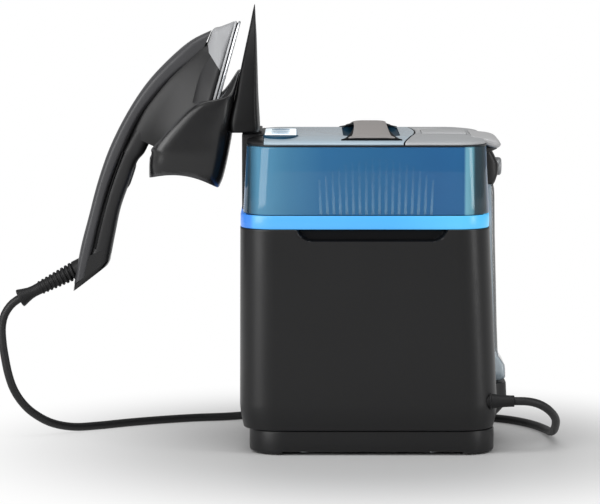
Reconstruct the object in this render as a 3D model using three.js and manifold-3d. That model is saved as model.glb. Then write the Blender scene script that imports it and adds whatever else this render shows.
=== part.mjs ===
// Compact steam generator iron: a cube-shaped base with a drawer tank on top, an upright
// rest at one end, and a small handset parked nose-up in the rest's holster.
// Millimetres, +Z up, +X towards the tank's grip, the handset at -X.
// Pieces are drawn from the middle of the base, on the surface that it stands on; the last
// lines move the origin under the middle of the whole object.
import * as THREE from "three";
import { mergeVertices } from "three/addons/utils/BufferGeometryUtils.js";
import Module from "manifold-3d";

const wasm = await Module();
wasm.setup();

// ---------------------------------------------------------------- driving dimensions
const GAP = 0.3; // clearance between pieces that touch
const CLEAR = 20; // how far a cutting shape reaches past the outside
const RAD = Math.PI / 180;

// Base casing: a rounded box that tapers upwards and tucks in at the bottom
const FOOT_HEIGHT = 3;
const FOOT_RADIUS = 9;
const SCREW_RADIUS = 2.2;
const BOARD_HEIGHT = 34; // underside of the control board
const PLINTH_TOP = 22;
const PLINTH_HALF_LENGTH = 109;
const PLINTH_HALF_DEPTH = 86.5;
const TUCK_TOP = 44; // height where the casing is widest
const BAND_BOTTOM = 201;
const BAND_TOP = 213.6;
const HALF_LENGTH = 114.5; // at the widest height
const HALF_DEPTH = 90;
const TOP_HALF_LENGTH = 107;
const TOP_HALF_DEPTH = 87;
const STEP_OUT = 7; // the upright -X wall stands this far past the tank, at the top
const CORNER = 30;
const WALL = 2.6;
const SCOOP_HALF_LENGTH = 66; // hand scoop under the light band
const SCOOP_DEPTH = 7;
const SCOOP_BOTTOM = 190.5;

// Tank, deck and neck
const TANK_TOP = 274.4;
const TANK_WALL = 2.4;
const DECK_EDGE = 276.8; // upper edge of the deck's rim
const DECK_CROWN = 281.5;
const LIMB_HALF_WIDTH = 30; // water leg down the back of the base
const LIMB_OUTSTAND = 4.5; // how far the leg stands proud of the casing
const LIMB_THICKNESS = 12;
const LIMB_CORNER = 5;
const LIMB_BOTTOM = 58;
const OUTLET_HEIGHT = LIMB_BOTTOM + 12; // where the leg's outlet meets the coupling
const COUPLING_RADIUS = 8;
const NECK_HALF_WIDTH = 34; // column that carries the rest
const NECK_LENGTH = 20;
const LID_START = 43; // where the deck ends and the tank's own lid starts
const LID_RADIUS = 321; // of the curved seam between them
const BAY_PLATE = 5;

// Control panel
const PANEL_START = -86;
const PANEL_LENGTH = 24;
const PANEL_FRONT = -52;
const PANEL_BACK = 22;
const PANEL_HEIGHT = 282.4;
const BUTTON_RADIUS = 7.6;
const BUTTON_STAND = 1.6;
const BUTTON_PLACES = [-38, -15, 8];

// Strap
const STRAP_TOP = 290.2;
const STRAP_THICKNESS = 4;
const STRAP_MIDDLE = 2;
const STRAP_HALF_WIDTH = 15;
const STRAP_FOOT_HALF_WIDTH = 26;
const STRAP_HALF_SPAN = 80;

// Hose
const HOSE_DIAMETER = 7.5;
const COIL_MIDDLE = new THREE.Vector3(0, 156, 0);
const COIL_RADIUS = 42;
const COIL_TURNS = 3;
const GLAND_PLACE = new THREE.Vector3(106, -76, 47.3);
const GLAND_LENGTH = 23; // outside the casing
const GLAND_SINK = 12; // inside the casing
const GLAND_RADIUS = 6.5;
const MAINS_PLACE = new THREE.Vector3(-70, 0, 40); // low on the back
const MAINS_RADIUS = 7;

// Handset: its own frame has the sole in the plane x = 0 and the tip at the origin
const LEAN = 15.5 * RAD;
const TIP = new THREE.Vector3(-114, 0, 380.5);
const SOLE_LENGTH = 137;
const SOLE_HALF_WIDTH = 45;
const SOLE_THICKNESS = 2.4;
const SKIRT_THICKNESS = 2.6;
const STEAM_HOLE = 1.6;
const HANDLE_HALF_WIDTH = 16;
const CUFF_ANGLE = 42.7 * RAD; // hose boot, from the handle's spine

// ---------------------------------------------------------------- materials
const finish = (color, roughness, metalness, more = {}) => (
  new THREE.MeshStandardMaterial({ color, roughness, metalness, ...more }));
const plastic = (color, roughness = 0.45) => finish(color, roughness, 0);
const metal = (color, roughness = 0.35) => finish(color, roughness, 1);
const casingBlack = plastic(0x2b2b2c, 0.42);
const softBlack = plastic(0x1e1e1f, 0.6);
const innerBlack = plastic(0x18181a, 0.7);
const rubberBlack = plastic(0x151515, 0.85);
const glowBlue = finish(0x50aef5, 0.3, 0, { emissive: 0x2f8fe8 });
const tankBlue = finish(0x3a6f9d, 0.1, 0, { transparent: true, opacity: 0.6 });
const deckBlue = plastic(0x8ea6b4, 0.2);
const silverPlastic = plastic(0xb6b8ba, 0.35);
const strapGrey = plastic(0x9b9b9b, 0.7);
const panelWhite = finish(0xdff1fb, 0.3, 0, { emissive: 0xbfe4fa });
const buttonGrey = plastic(0x8fa3b4, 0.4);
const steel = metal(0xc9ccd0);
const castAluminium = metal(0xa8abae, 0.55);
const brass = metal(0xb49a55);
const boardGreen = plastic(0x1f5a3a, 0.6);
const siliconeTube = plastic(0xd8d8d2, 0.5);

// ---------------------------------------------------------------- solid helpers

// Turn a closed three.js geometry into a solid that can be joined and cut
function solid(geometry) {
  const bare = geometry.clone();
  bare.deleteAttribute("normal");
  bare.deleteAttribute("uv");
  const merged = mergeVertices(bare, 1e-4);
  const mesh = new wasm.Mesh({
    numProp: 3,
    vertProperties: new Float32Array(merged.attributes.position.array),
    triVerts: new Uint32Array(merged.index.array),
  });
  return new wasm.Manifold(mesh);
}

// Turn a solid back into a geometry
function geometryOf(body) {
  const mesh = body.getMesh();
  const geometry = new THREE.BufferGeometry();
  geometry.setAttribute("position", new THREE.BufferAttribute(new Float32Array(mesh.vertProperties), 3));
  geometry.setIndex(new THREE.BufferAttribute(new Uint32Array(mesh.triVerts), 1));
  geometry.computeVertexNormals();
  return geometry;
}

// A box between two corners
function box(x0, x1, y0, y1, z0, z1) {
  const geometry = new THREE.BoxGeometry(x1 - x0, y1 - y0, z1 - z0);
  geometry.translate((x0 + x1) / 2, (y0 + y1) / 2, (z0 + z1) / 2);
  return geometry;
}

// The turn that takes one direction to another
const turnFromTo = (from, to) => new THREE.Quaternion().setFromUnitVectors(from, to);
const UP = new THREE.Vector3(0, 0, 1);
const OUTWARDS = new THREE.Vector3(1, 0, 0); // towards the tank's grip
const BACKWARDS = new THREE.Vector3(0, 1, 0);
const LATHE_AXIS = BACKWARDS; // three.js turns its pieces round +Y

// A cylinder from one point to another
function rod(from, to, radius, sides = 16) {
  const along = to.clone().sub(from);
  const geometry = new THREE.CylinderGeometry(radius, radius, along.length(), sides);
  geometry.applyQuaternion(turnFromTo(LATHE_AXIS, along.normalize()));
  const middle = from.clone().add(to).multiplyScalar(0.5);
  geometry.translate(middle.x, middle.y, middle.z);
  return geometry;
}

// A turned piece: [radius, height] pairs spun round an axis that starts at a point
function turned(profile, start, direction, sides = 16) {
  const outline = profile.map(([radius, height]) => new THREE.Vector2(radius, height));
  const geometry = new THREE.LatheGeometry(outline, sides);
  geometry.applyQuaternion(turnFromTo(LATHE_AXIS, direction));
  geometry.translate(start.x, start.y, start.z);
  return geometry;
}

// A round tube or wire along points
function tube(points, radius, sides = 8, steps = points.length * 2) {
  const circle = new THREE.Shape();
  for (let i = 0; i < sides; i++) {
    const angle = (i / sides) * 2 * Math.PI;
    const corner = [radius * Math.cos(angle), radius * Math.sin(angle)];
    if (i === 0) circle.moveTo(...corner);
    else circle.lineTo(...corner);
  }
  const path = new THREE.CatmullRomCurve3(points, false, "centripetal");
  return new THREE.ExtrudeGeometry(circle, { steps, extrudePath: path, curveSegments: 1 });
}

// Skin a row of closed rings, each a list of points with the same count, with flat ends
function loft(rings) {
  const count = rings[0].length;
  const positions = [];
  const index = [];
  for (const point of rings.flat()) positions.push(point.x, point.y, point.z);
  for (let k = 0; k + 1 < rings.length; k++) {
    for (let i = 0; i < count; i++) {
      const j = (i + 1) % count;
      const a = k * count + i;
      const b = k * count + j;
      index.push(a, b, b + count, a, b + count, a + count);
    }
  }
  const capEnd = (ringIndex, flip) => {
    const middle = new THREE.Vector3();
    for (const point of rings[ringIndex]) middle.add(point);
    middle.divideScalar(count);
    const hub = positions.length / 3;
    positions.push(middle.x, middle.y, middle.z);
    for (let i = 0; i < count; i++) {
      const a = ringIndex * count + i;
      const b = ringIndex * count + ((i + 1) % count);
      if (flip) index.push(hub, b, a);
      else index.push(hub, a, b);
    }
  };
  capEnd(0, true);
  capEnd(rings.length - 1, false);
  const geometry = new THREE.BufferGeometry();
  geometry.setAttribute("position", new THREE.BufferAttribute(new Float32Array(positions), 3));
  geometry.setIndex(index);
  return facingOut(geometry);
}

// Turn a closed geometry's faces OUTWARDS if its volume comes out negative
function facingOut(geometry) {
  const place = geometry.attributes.position;
  const order = geometry.index.array;
  const a = new THREE.Vector3();
  const b = new THREE.Vector3();
  const c = new THREE.Vector3();
  let volume = 0;
  for (let i = 0; i < order.length; i += 3) {
    a.fromBufferAttribute(place, order[i]);
    b.fromBufferAttribute(place, order[i + 1]);
    c.fromBufferAttribute(place, order[i + 2]);
    volume += a.dot(b.cross(c));
  }
  if (volume < 0) {
    for (let i = 0; i < order.length; i += 3) {
      const swap = order[i];
      order[i] = order[i + 1];
      order[i + 1] = swap;
    }
  }
  return geometry;
}

// Rounded rectangle ring at a height
function roundedRing(halfLength, halfDepth, radius, height, arcSteps = 5) {
  const ring = [];
  const corners = [[1, 1], [-1, 1], [-1, -1], [1, -1]];
  corners.forEach(([sx, sy], quarter) => {
    for (let i = 0; i <= arcSteps; i++) {
      const angle = (quarter + i / arcSteps) * (Math.PI / 2);
      const x = sx * (halfLength - radius) + radius * Math.cos(angle);
      const y = sy * (halfDepth - radius) + radius * Math.sin(angle);
      ring.push(new THREE.Vector3(x, y, height));
    }
  });
  return ring;
}

// Section ring between an outer and an inner point of a side view, with a half width at each
function sectionRing({ outer, inner, wide, wideInner = wide, power = 2.6 }, steps = 18) {
  const ring = [];
  const soften = (value) => Math.sign(value) * Math.abs(value) ** (2 / power);
  for (let i = 0; i < steps; i++) {
    const angle = ((i + 0.5) / steps) * 2 * Math.PI;
    const share = (1 + soften(Math.cos(angle))) / 2;
    const half = wideInner + (wide - wideInner) * share;
    const x = inner[0] + (outer[0] - inner[0]) * share;
    const z = inner[1] + (outer[1] - inner[1]) * share;
    ring.push(new THREE.Vector3(x, half * soften(Math.sin(angle)), z));
  }
  return ring;
}

const skin = (sections, steps) => loft(sections.map((section) => sectionRing(section, steps)));

const root = new THREE.Group();

// Add a named mesh to a group
function add(name, geometry, material, group = root) {
  const mesh = new THREE.Mesh(geometry, material);
  mesh.name = name;
  group.add(mesh);
  return mesh;
}

// ---------------------------------------------------------------- base casing

// Half length and half depth of the casing's outside at a height
function casingSize(height) {
  const share = Math.max(0, (height - TUCK_TOP) / (BAND_BOTTOM - TUCK_TOP));
  const tuck = Math.max(0, (TUCK_TOP - height) / (TUCK_TOP - PLINTH_TOP));
  const halfLength = HALF_LENGTH + (TOP_HALF_LENGTH - HALF_LENGTH) * share - 3.5 * tuck ** 1.6;
  const halfDepth = HALF_DEPTH + (TOP_HALF_DEPTH - HALF_DEPTH) * share - 2 * tuck ** 1.6;
  return [halfLength, halfDepth];
}

// Move the -X half of a ring outwards
const stepOut = (ring, distance) => ring.map((point) => (
  point.x < 0 ? point.setX(point.x - distance) : point));

// A column through the casing, inset from its outside, between two heights
function casingColumn(inset, from, to) {
  const heights = [from, ...[30, TUCK_TOP].filter((h) => h > from && h < to), to];
  return solid(loft(heights.map((height) => {
    const [halfLength, halfDepth] = casingSize(height);
    const share = Math.max(0, (height - TUCK_TOP) / (BAND_BOTTOM - TUCK_TOP));
    const ring = roundedRing(halfLength - inset, halfDepth - inset, CORNER - inset, height);
    return stepOut(ring, STEP_OUT * share);
  })));
}

// The water leg's channel and the leg share one slanted column on the casing's +X face
function limbColumn(inset, outstand, thickness, from, to) {
  const rings = [from, to].map((height) => {
    const outside = casingSize(height)[0] + outstand - inset;
    const halfThickness = thickness / 2 - inset;
    return roundedRing(halfThickness, LIMB_HALF_WIDTH - inset, LIMB_CORNER - inset, height, 4)
      .map((point) => point.setX(point.x + outside - halfThickness));
  });
  return solid(loft(rings));
}

function baseShell() {
  const casingBottom = PLINTH_TOP + GAP;
  let body = casingColumn(0, casingBottom, BAND_BOTTOM);
  // black housing that bulges out below the water leg
  const ledge = limbColumn(-2, LIMB_OUTSTAND + 0.5, 34, TUCK_TOP - 2, LIMB_BOTTOM - 1);
  body = body.add(ledge);
  body = body.subtract(casingColumn(WALL, casingBottom - 1, BAND_BOTTOM + 1));
  // channel wall behind the water leg
  const channel = limbColumn(
    -GAP, LIMB_OUTSTAND + CLEAR, LIMB_THICKNESS + CLEAR, LIMB_BOTTOM - GAP, BAND_BOTTOM + 1);
  const liningThickness = LIMB_THICKNESS - LIMB_OUTSTAND + GAP + WALL;
  const lining = limbColumn(-GAP - WALL, 0, liningThickness, LIMB_BOTTOM - WALL - GAP, BAND_BOTTOM);
  body = body.add(lining.intersect(casingColumn(1, casingBottom, BAND_BOTTOM)));
  body = body.subtract(channel);
  // socket opening for the tank coupling
  const socketFrom = new THREE.Vector3(HALF_LENGTH - 34, 0, OUTLET_HEIGHT);
  const socketTo = socketFrom.clone().setX(HALF_LENGTH + CLEAR);
  body = body.subtract(solid(rod(socketFrom, socketTo, COUPLING_RADIUS + GAP, 20)));
  // hose gland opening
  const glandStart = GLAND_PLACE.clone().setX(GLAND_PLACE.x - GLAND_SINK);
  const glandEnd = GLAND_PLACE.clone().setX(GLAND_PLACE.x + 14);
  body = body.subtract(solid(rod(glandStart, glandEnd, GLAND_RADIUS + GAP, 20)));
  // mains gland opening at the back
  const mainsInside = MAINS_PLACE.clone().setY(HALF_DEPTH - 20);
  const mainsOutside = MAINS_PLACE.clone().setY(HALF_DEPTH + 6);
  body = body.subtract(solid(rod(mainsInside, mainsOutside, MAINS_RADIUS + GAP, 20)));
  // hand scoop: a lining behind the face, then the scoop itself
  const face = -TOP_HALF_DEPTH;
  const scoop = (grow) => {
    const rings = [face - 4, face + SCOOP_DEPTH + grow].map((y, k) => {
      const half = SCOOP_HALF_LENGTH + grow - k * 4;
      const bottom = SCOOP_BOTTOM - grow + k * 2;
      const top = BAND_BOTTOM + 1;
      const reach = 9;
      return [[-half, top], [-half + 1, bottom + reach], [-half + 5, bottom + 3], [-half + 12, bottom],
        [half - 12, bottom], [half - 5, bottom + 3], [half - 1, bottom + reach], [half, top]]
        .map(([x, z]) => new THREE.Vector3(x, y, z));
    });
    return solid(loft(rings));
  };
  body = body.add(scoop(WALL).intersect(casingColumn(1, casingBottom, BAND_BOTTOM)));
  body = body.subtract(scoop(0));
  return geometryOf(body);
}

function basePlinth() {
  const ring = (inset, height) => roundedRing(
    PLINTH_HALF_LENGTH - inset, PLINTH_HALF_DEPTH - inset, CORNER - inset, height);
  const outside = solid(loft([ring(2.5, FOOT_HEIGHT), ring(0, FOOT_HEIGHT + 3), ring(0, PLINTH_TOP)]));
  const inside = solid(loft([ring(WALL + 1, FOOT_HEIGHT + WALL), ring(WALL, PLINTH_TOP + 1)]));
  let body = outside.subtract(inside);
  for (const { x, y } of footPlaces()) {
    const pocketTop = new THREE.Vector3(x, y, FOOT_HEIGHT + 1);
    body = body.subtract(solid(rod(new THREE.Vector3(x, y, -1), pocketTop, FOOT_RADIUS + GAP, 20)));
  }
  for (const { x, y } of screwPlaces()) {
    const holeTop = new THREE.Vector3(x, y, FOOT_HEIGHT + WALL + 1);
    body = body.subtract(solid(rod(new THREE.Vector3(x, y, -1), holeTop, SCREW_RADIUS + GAP, 12)));
  }
  // posts for the control board
  const posts = [[-62, -52], [-62, 52], [-88, -30], [-88, 30]];
  for (const [x, y] of posts) {
    const floor = FOOT_HEIGHT + WALL;
    const post = rod(new THREE.Vector3(x, y, floor - 1), new THREE.Vector3(x, y, BOARD_HEIGHT - GAP), 4, 12);
    body = body.add(solid(post));
  }
  return geometryOf(body);
}

const corners = [[-1, -1], [1, -1], [1, 1], [-1, 1]];
const footPlaces = () => corners.map(([sx, sy]) => ({
  x: sx * (PLINTH_HALF_LENGTH - 26),
  y: sy * (PLINTH_HALF_DEPTH - 22),
}));
const screwPlaces = () => corners.map(([sx, sy]) => ({
  x: sx * (PLINTH_HALF_LENGTH - 52),
  y: sy * (PLINTH_HALF_DEPTH - 16),
}));

add("base_shell", baseShell(), casingBlack);
add("base_plinth", basePlinth(), casingBlack);
footPlaces().forEach(({ x, y }, i) => {
  const start = new THREE.Vector3(x, y, 0);
  const top = FOOT_HEIGHT + 1 - GAP;
  const profile = [[0, 0], [FOOT_RADIUS - 1, 0], [FOOT_RADIUS, 1], [FOOT_RADIUS, top], [0, top]];
  add(`foot_${i + 1}`, turned(profile, start, UP, 14), rubberBlack);
});
screwPlaces().forEach(({ x, y }, i) => {
  const start = new THREE.Vector3(x, y, 1);
  const head = FOOT_HEIGHT - GAP - 1;
  const profile = [[0, 0], [4, 0], [4, head], [SCREW_RADIUS, head], [SCREW_RADIUS, head + 9], [0, head + 11]];
  add(`plinth_screw_${i + 1}`, turned(profile, start, UP, 8), steel);
});

// Light band: a see-through ring between casing and tank, open where the water leg passes
function bandRing(inset, from, to) {
  return solid(loft([from, to].map((height) => {
    const ring = roundedRing(TOP_HALF_LENGTH - inset, TOP_HALF_DEPTH - inset, CORNER - inset, height);
    return stepOut(ring, STEP_OUT);
  })));
}
const bandLow = BAND_BOTTOM + GAP;
const bandHigh = BAND_TOP - GAP;
const legPassage = limbColumn(
  -GAP, LIMB_OUTSTAND + CLEAR, LIMB_THICKNESS + CLEAR, BAND_BOTTOM - 1, TANK_TOP + CLEAR);
const band = bandRing(0.4, bandLow, bandHigh)
  .subtract(bandRing(5, bandLow - 1, bandHigh + 1))
  .subtract(legPassage);
add("light_band", geometryOf(band), glowBlue);

// Bay plate: the floor that the tank slides on, inside the band
const bayPlate = bandRing(5 + GAP, bandHigh - BAY_PLATE, bandHigh).subtract(legPassage);
add("bay_plate", geometryOf(bayPlate), innerBlack);

// ---------------------------------------------------------------- works inside the base
const BOILER = new THREE.Vector3(28, 0, 62);
const BOILER_RADIUS = 44;
const BOILER_HEIGHT = 62;
const boilerProfile = [[0, 0], [BOILER_RADIUS - 4, 0], [BOILER_RADIUS, 4], [BOILER_RADIUS, 30],
  [BOILER_RADIUS + 6, 32], [BOILER_RADIUS + 6, 38], [BOILER_RADIUS - 2, 44],
  [BOILER_RADIUS - 14, BOILER_HEIGHT - 4], [0, BOILER_HEIGHT]];
const boilerFloor = BOILER.clone().setZ(BOILER.z + 20);
add("boiler", turned(boilerProfile, boilerFloor, UP, 24), castAluminium);

// An open ring of round bar, lying flat
function ringTube(middle, radius, thick, from, to, steps = 16) {
  const points = [];
  for (let i = 0; i <= steps; i++) {
    const angle = from + ((to - from) * i) / steps;
    const arm = new THREE.Vector3(radius * Math.cos(angle), radius * Math.sin(angle), 0);
    points.push(arm.add(middle));
  }
  return tube(points, thick, 6, steps);
}
const heaterRadius = 4;
const heaterMiddle = boilerFloor.clone().setZ(boilerFloor.z - heaterRadius - GAP);
add("boiler_heater", ringTube(heaterMiddle, 30, heaterRadius, 0.35, 2 * Math.PI - 0.35), steel);

// Three-legged stand that lifts the boiler off the plinth floor
const standTop = heaterMiddle.z - heaterRadius - GAP;
const standFloor = FOOT_HEIGHT + WALL + GAP;
const standPlate = [standTop - 4, standTop].map((height) => BOILER.clone().setZ(height));
let stand = solid(rod(...standPlate, BOILER_RADIUS - 4, 28));
for (let i = 0; i < 3; i++) {
  const angle = (i / 3) * 2 * Math.PI + Math.PI / 3;
  const x = BOILER.x + (BOILER_RADIUS - 12) * Math.cos(angle);
  const y = BOILER.y + (BOILER_RADIUS - 12) * Math.sin(angle);
  const leg = [standFloor, standTop - 2].map((height) => new THREE.Vector3(x, y, height));
  stand = stand.add(solid(rod(...leg, 5, 12)));
}
add("boiler_stand", geometryOf(stand), steel);

// Pump lying across the base, with its two ports up
const PUMP = new THREE.Vector3(-32, -34, 26);
const pumpRadius = 17;
const pumpPorts = [8, 54].map((y) => new THREE.Vector3(PUMP.x, PUMP.y + y, PUMP.z + pumpRadius + 9));
let pump = solid(rod(PUMP, PUMP.clone().setY(PUMP.y + 62), pumpRadius, 24));
pump = pump.add(solid(box(PUMP.x - 14, PUMP.x + 14, PUMP.y + 8, PUMP.y + 54, standFloor, PUMP.z - 8)));
for (const port of pumpPorts) pump = pump.add(solid(rod(port.clone().setZ(PUMP.z + 4), port, 3.6, 12)));
add("pump", geometryOf(pump), softBlack);

// Steam valve on top of the boiler
const VALVE = new THREE.Vector3(BOILER.x, 0, boilerFloor.z + BOILER_HEIGHT + GAP);
const PORT_RISE = 5; // height of the steam outlet above the valve seat
const PORT_REACH = 22;
let valve = solid(rod(VALVE, VALVE.clone().setZ(VALVE.z + 14), 9, 20));
valve = valve.add(solid(box(VALVE.x - 14, VALVE.x + 14, -11, 11, VALVE.z + 10, VALVE.z + 30)));
const portRoot = VALVE.clone().setZ(VALVE.z + PORT_RISE);
valve = valve.add(solid(rod(portRoot, portRoot.clone().setY(-PORT_REACH), 3.8, 12)));
add("steam_valve", geometryOf(valve), brass);

// Control board on four posts
add("control_board", box(-94, -56, -58, 58, BOARD_HEIGHT, BOARD_HEIGHT + 2), boardGreen);

// Coupling behind the water leg, where the tank's outlet plugs in
const channelFace = casingSize(OUTLET_HEIGHT)[0] + LIMB_OUTSTAND - LIMB_THICKNESS - GAP;
const couplingEnd = new THREE.Vector3(channelFace - 0.5, 0, OUTLET_HEIGHT);
const couplingStart = couplingEnd.clone().setX(couplingEnd.x - 16);
const couplingBore = [-9, 2].map((offset) => couplingEnd.clone().setX(couplingEnd.x + offset));
let coupling = solid(rod(couplingStart, couplingEnd, COUPLING_RADIUS, 20));
coupling = coupling.add(solid(rod(couplingStart.clone().setX(couplingStart.x - 8), couplingStart, 3.6, 12)));
coupling = coupling.subtract(solid(rod(...couplingBore, 4.5, 16)));
add("tank_coupling", geometryOf(coupling), softBlack);

// Water and steam lines
const couplingTail = couplingStart.clone().setX(couplingStart.x - 8 - GAP);
add("suction_tube", tube([
  couplingTail,
  new THREE.Vector3(couplingTail.x - 5, 0, couplingTail.z),
  new THREE.Vector3(couplingTail.x - 11, -12, couplingTail.z - 6),
  new THREE.Vector3(70, -40, 50),
  new THREE.Vector3(40, -62, 44),
  new THREE.Vector3(0, -60, 56),
  new THREE.Vector3(PUMP.x + 2, -38, 66),
  new THREE.Vector3(pumpPorts[0].x, pumpPorts[0].y, pumpPorts[0].z + 8),
  pumpPorts[0].clone().setZ(pumpPorts[0].z + GAP),
], 3, 6, 20), siliconeTube);
add("feed_tube", tube([
  pumpPorts[1].clone().setZ(pumpPorts[1].z + GAP),
  pumpPorts[1].clone().setZ(pumpPorts[1].z + 10),
  new THREE.Vector3(PUMP.x - 2, 30, 84),
  new THREE.Vector3(BOILER.x - BOILER_RADIUS - 10, 22, 92),
  new THREE.Vector3(BOILER.x - BOILER_RADIUS * 0.93 - 3.2, 12, 92),
], 3, 6, 14), siliconeTube);
const valvePort = new THREE.Vector3(VALVE.x, -PORT_REACH - 2 * GAP, VALVE.z + PORT_RISE);
const glandTail = GLAND_PLACE.clone().setX(GLAND_PLACE.x - GLAND_SINK - 2 * GAP);
add("steam_pipe", tube([
  valvePort,
  new THREE.Vector3(VALVE.x, -32, VALVE.z + PORT_RISE),
  new THREE.Vector3(VALVE.x + 14, -66, VALVE.z - 24),
  new THREE.Vector3(VALVE.x + 34, -76, 96),
  new THREE.Vector3(78, -77, 62),
  new THREE.Vector3(glandTail.x - 6, GLAND_PLACE.y, GLAND_PLACE.z),
  glandTail,
], 3.4, 6, 22), siliconeTube);

// Hose gland at the lower +X corner, tapered outside the casing
const glandTip = GLAND_SINK + GLAND_LENGTH;
const glandProfile = [[0, 0], [GLAND_RADIUS, 0], [GLAND_RADIUS, GLAND_SINK], [6, GLAND_SINK + 3],
  [5, GLAND_SINK + 10], [5, glandTip], [0, glandTip]];
const glandRoot = GLAND_PLACE.clone().setX(GLAND_PLACE.x - GLAND_SINK);
add("hose_gland", turned(glandProfile, glandRoot, OUTWARDS, 20), rubberBlack);

// Mains gland, low on the back
const mainsLength = 17;
const mainsProfile = [[0, 0], [MAINS_RADIUS, 0], [MAINS_RADIUS, mainsLength - 3],
  [MAINS_RADIUS - 0.4, mainsLength], [0, mainsLength]];
const mainsStart = new THREE.Vector3(MAINS_PLACE.x, HALF_DEPTH - mainsLength - GAP, MAINS_PLACE.z);
add("mains_gland", turned(mainsProfile, mainsStart, BACKWARDS, 16), rubberBlack);

// ---------------------------------------------------------------- neck, deck and panel
const endFace = -TOP_HALF_LENGTH;
const tankFloor = BAND_TOP + GAP;
const neckTop = DECK_CROWN + 0.4;
const neck = box(
  endFace - STEP_OUT + 1.2, endFace + NECK_LENGTH, -NECK_HALF_WIDTH, NECK_HALF_WIDTH, bandHigh + GAP, neckTop,
);
add("neck_column", neck, casingBlack);

// Crowned deck outline at a height, shared by the deck and the tank's lid
function crown(inset, underside, edge, top) {
  const ring = (extra, height) => roundedRing(
    TOP_HALF_LENGTH - 0.6 - inset - extra, TOP_HALF_DEPTH - 0.6 - inset - extra, CORNER - inset, height);
  const rings = [ring(0, underside), ring(0, edge), ring(3, edge + 1.6), ring(14, edge + 3.2), ring(30, top)];
  return solid(loft(rings));
}
const deckUnderside = TANK_TOP + GAP;
const deckDisc = (grow) => {
  // the deck bows out towards the lid in an arc
  const middle = new THREE.Vector3(LID_START - LID_RADIUS, 0, deckUnderside - 10);
  return solid(rod(middle, middle.clone().setZ(DECK_CROWN + CLEAR), LID_RADIUS + grow, 240));
};
let deck = crown(0, deckUnderside, DECK_EDGE, DECK_CROWN).intersect(deckDisc(-GAP));
// shallow dish under the strap for the fingers
const dishRadius = 90;
const dish = solid(new THREE.SphereGeometry(dishRadius, 48, 32))
  .translate(STRAP_MIDDLE, 0, DECK_CROWN - 5.4 + dishRadius);
deck = deck.subtract(dish.intersect(solid(box(-60, LID_START, -46, 46, DECK_CROWN - 5, DECK_CROWN + CLEAR))));
const panelPocket = box(
  PANEL_START - GAP, PANEL_START + PANEL_LENGTH + GAP, PANEL_FRONT - GAP, PANEL_BACK + GAP,
  DECK_EDGE, DECK_CROWN + 10);
deck = deck.subtract(solid(panelPocket));
// notch where the neck comes up through the deck
deck = deck.subtract(solid(box(endFace - 1, endFace + NECK_LENGTH + GAP,
  -NECK_HALF_WIDTH - GAP, NECK_HALF_WIDTH + GAP, deckUnderside - 1, DECK_CROWN + 1)));
add("deck_cover", geometryOf(deck), deckBlue);

// Lit panel with three push buttons
let panel = solid(box(
  PANEL_START, PANEL_START + PANEL_LENGTH, PANEL_FRONT, PANEL_BACK, DECK_EDGE + GAP, PANEL_HEIGHT));
const buttonX = PANEL_START + PANEL_LENGTH / 2;
for (const y of BUTTON_PLACES) {
  const well = [DECK_EDGE + 2, PANEL_HEIGHT + 1].map((height) => new THREE.Vector3(buttonX, y, height));
  panel = panel.subtract(solid(rod(...well, BUTTON_RADIUS + GAP, 24)));
}
add("control_panel", geometryOf(panel), panelWhite);
["power_button", "steam_button", "eco_button"].forEach((name, i) => {
  const start = new THREE.Vector3(buttonX, BUTTON_PLACES[i], DECK_EDGE + 2 + BUTTON_STAND + GAP);
  const height = PANEL_HEIGHT + BUTTON_STAND - start.z;
  const profile = [[0, 0], [BUTTON_RADIUS, 0], [BUTTON_RADIUS, height - 0.6],
    [BUTTON_RADIUS - 0.8, height], [0, height]];
  add(name, turned(profile, start, UP, 18), buttonGrey);
});

// Carry strap: a band across the deck that rises off it in the middle
const strapStations = [-1, -0.86, -0.62, -0.35, 0, 0.35, 0.62, 0.86, 1];
const strapRings = strapStations.map((share) => {
  const y = share * STRAP_HALF_SPAN;
  const rise = Math.cos((Math.min(1, Math.abs(share)) * Math.PI) / 2) ** 0.8;
  const seat = DECK_EDGE + 2.1 + GAP;
  const low = seat + (STRAP_TOP - STRAP_THICKNESS - seat) * rise;
  const half = STRAP_FOOT_HALF_WIDTH + (STRAP_HALF_WIDTH - STRAP_FOOT_HALF_WIDTH) * rise ** 0.7;
  return roundedRing(half, STRAP_THICKNESS / 2, STRAP_THICKNESS / 2 - 0.4, 0, 3)
    .map((point) => new THREE.Vector3(point.x + STRAP_MIDDLE, y, low + STRAP_THICKNESS / 2 + point.y));
});
add("carry_strap", loft(strapRings), strapGrey);

// ---------------------------------------------------------------- tank
const tank = new THREE.Group();
root.add(tank);

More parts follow.
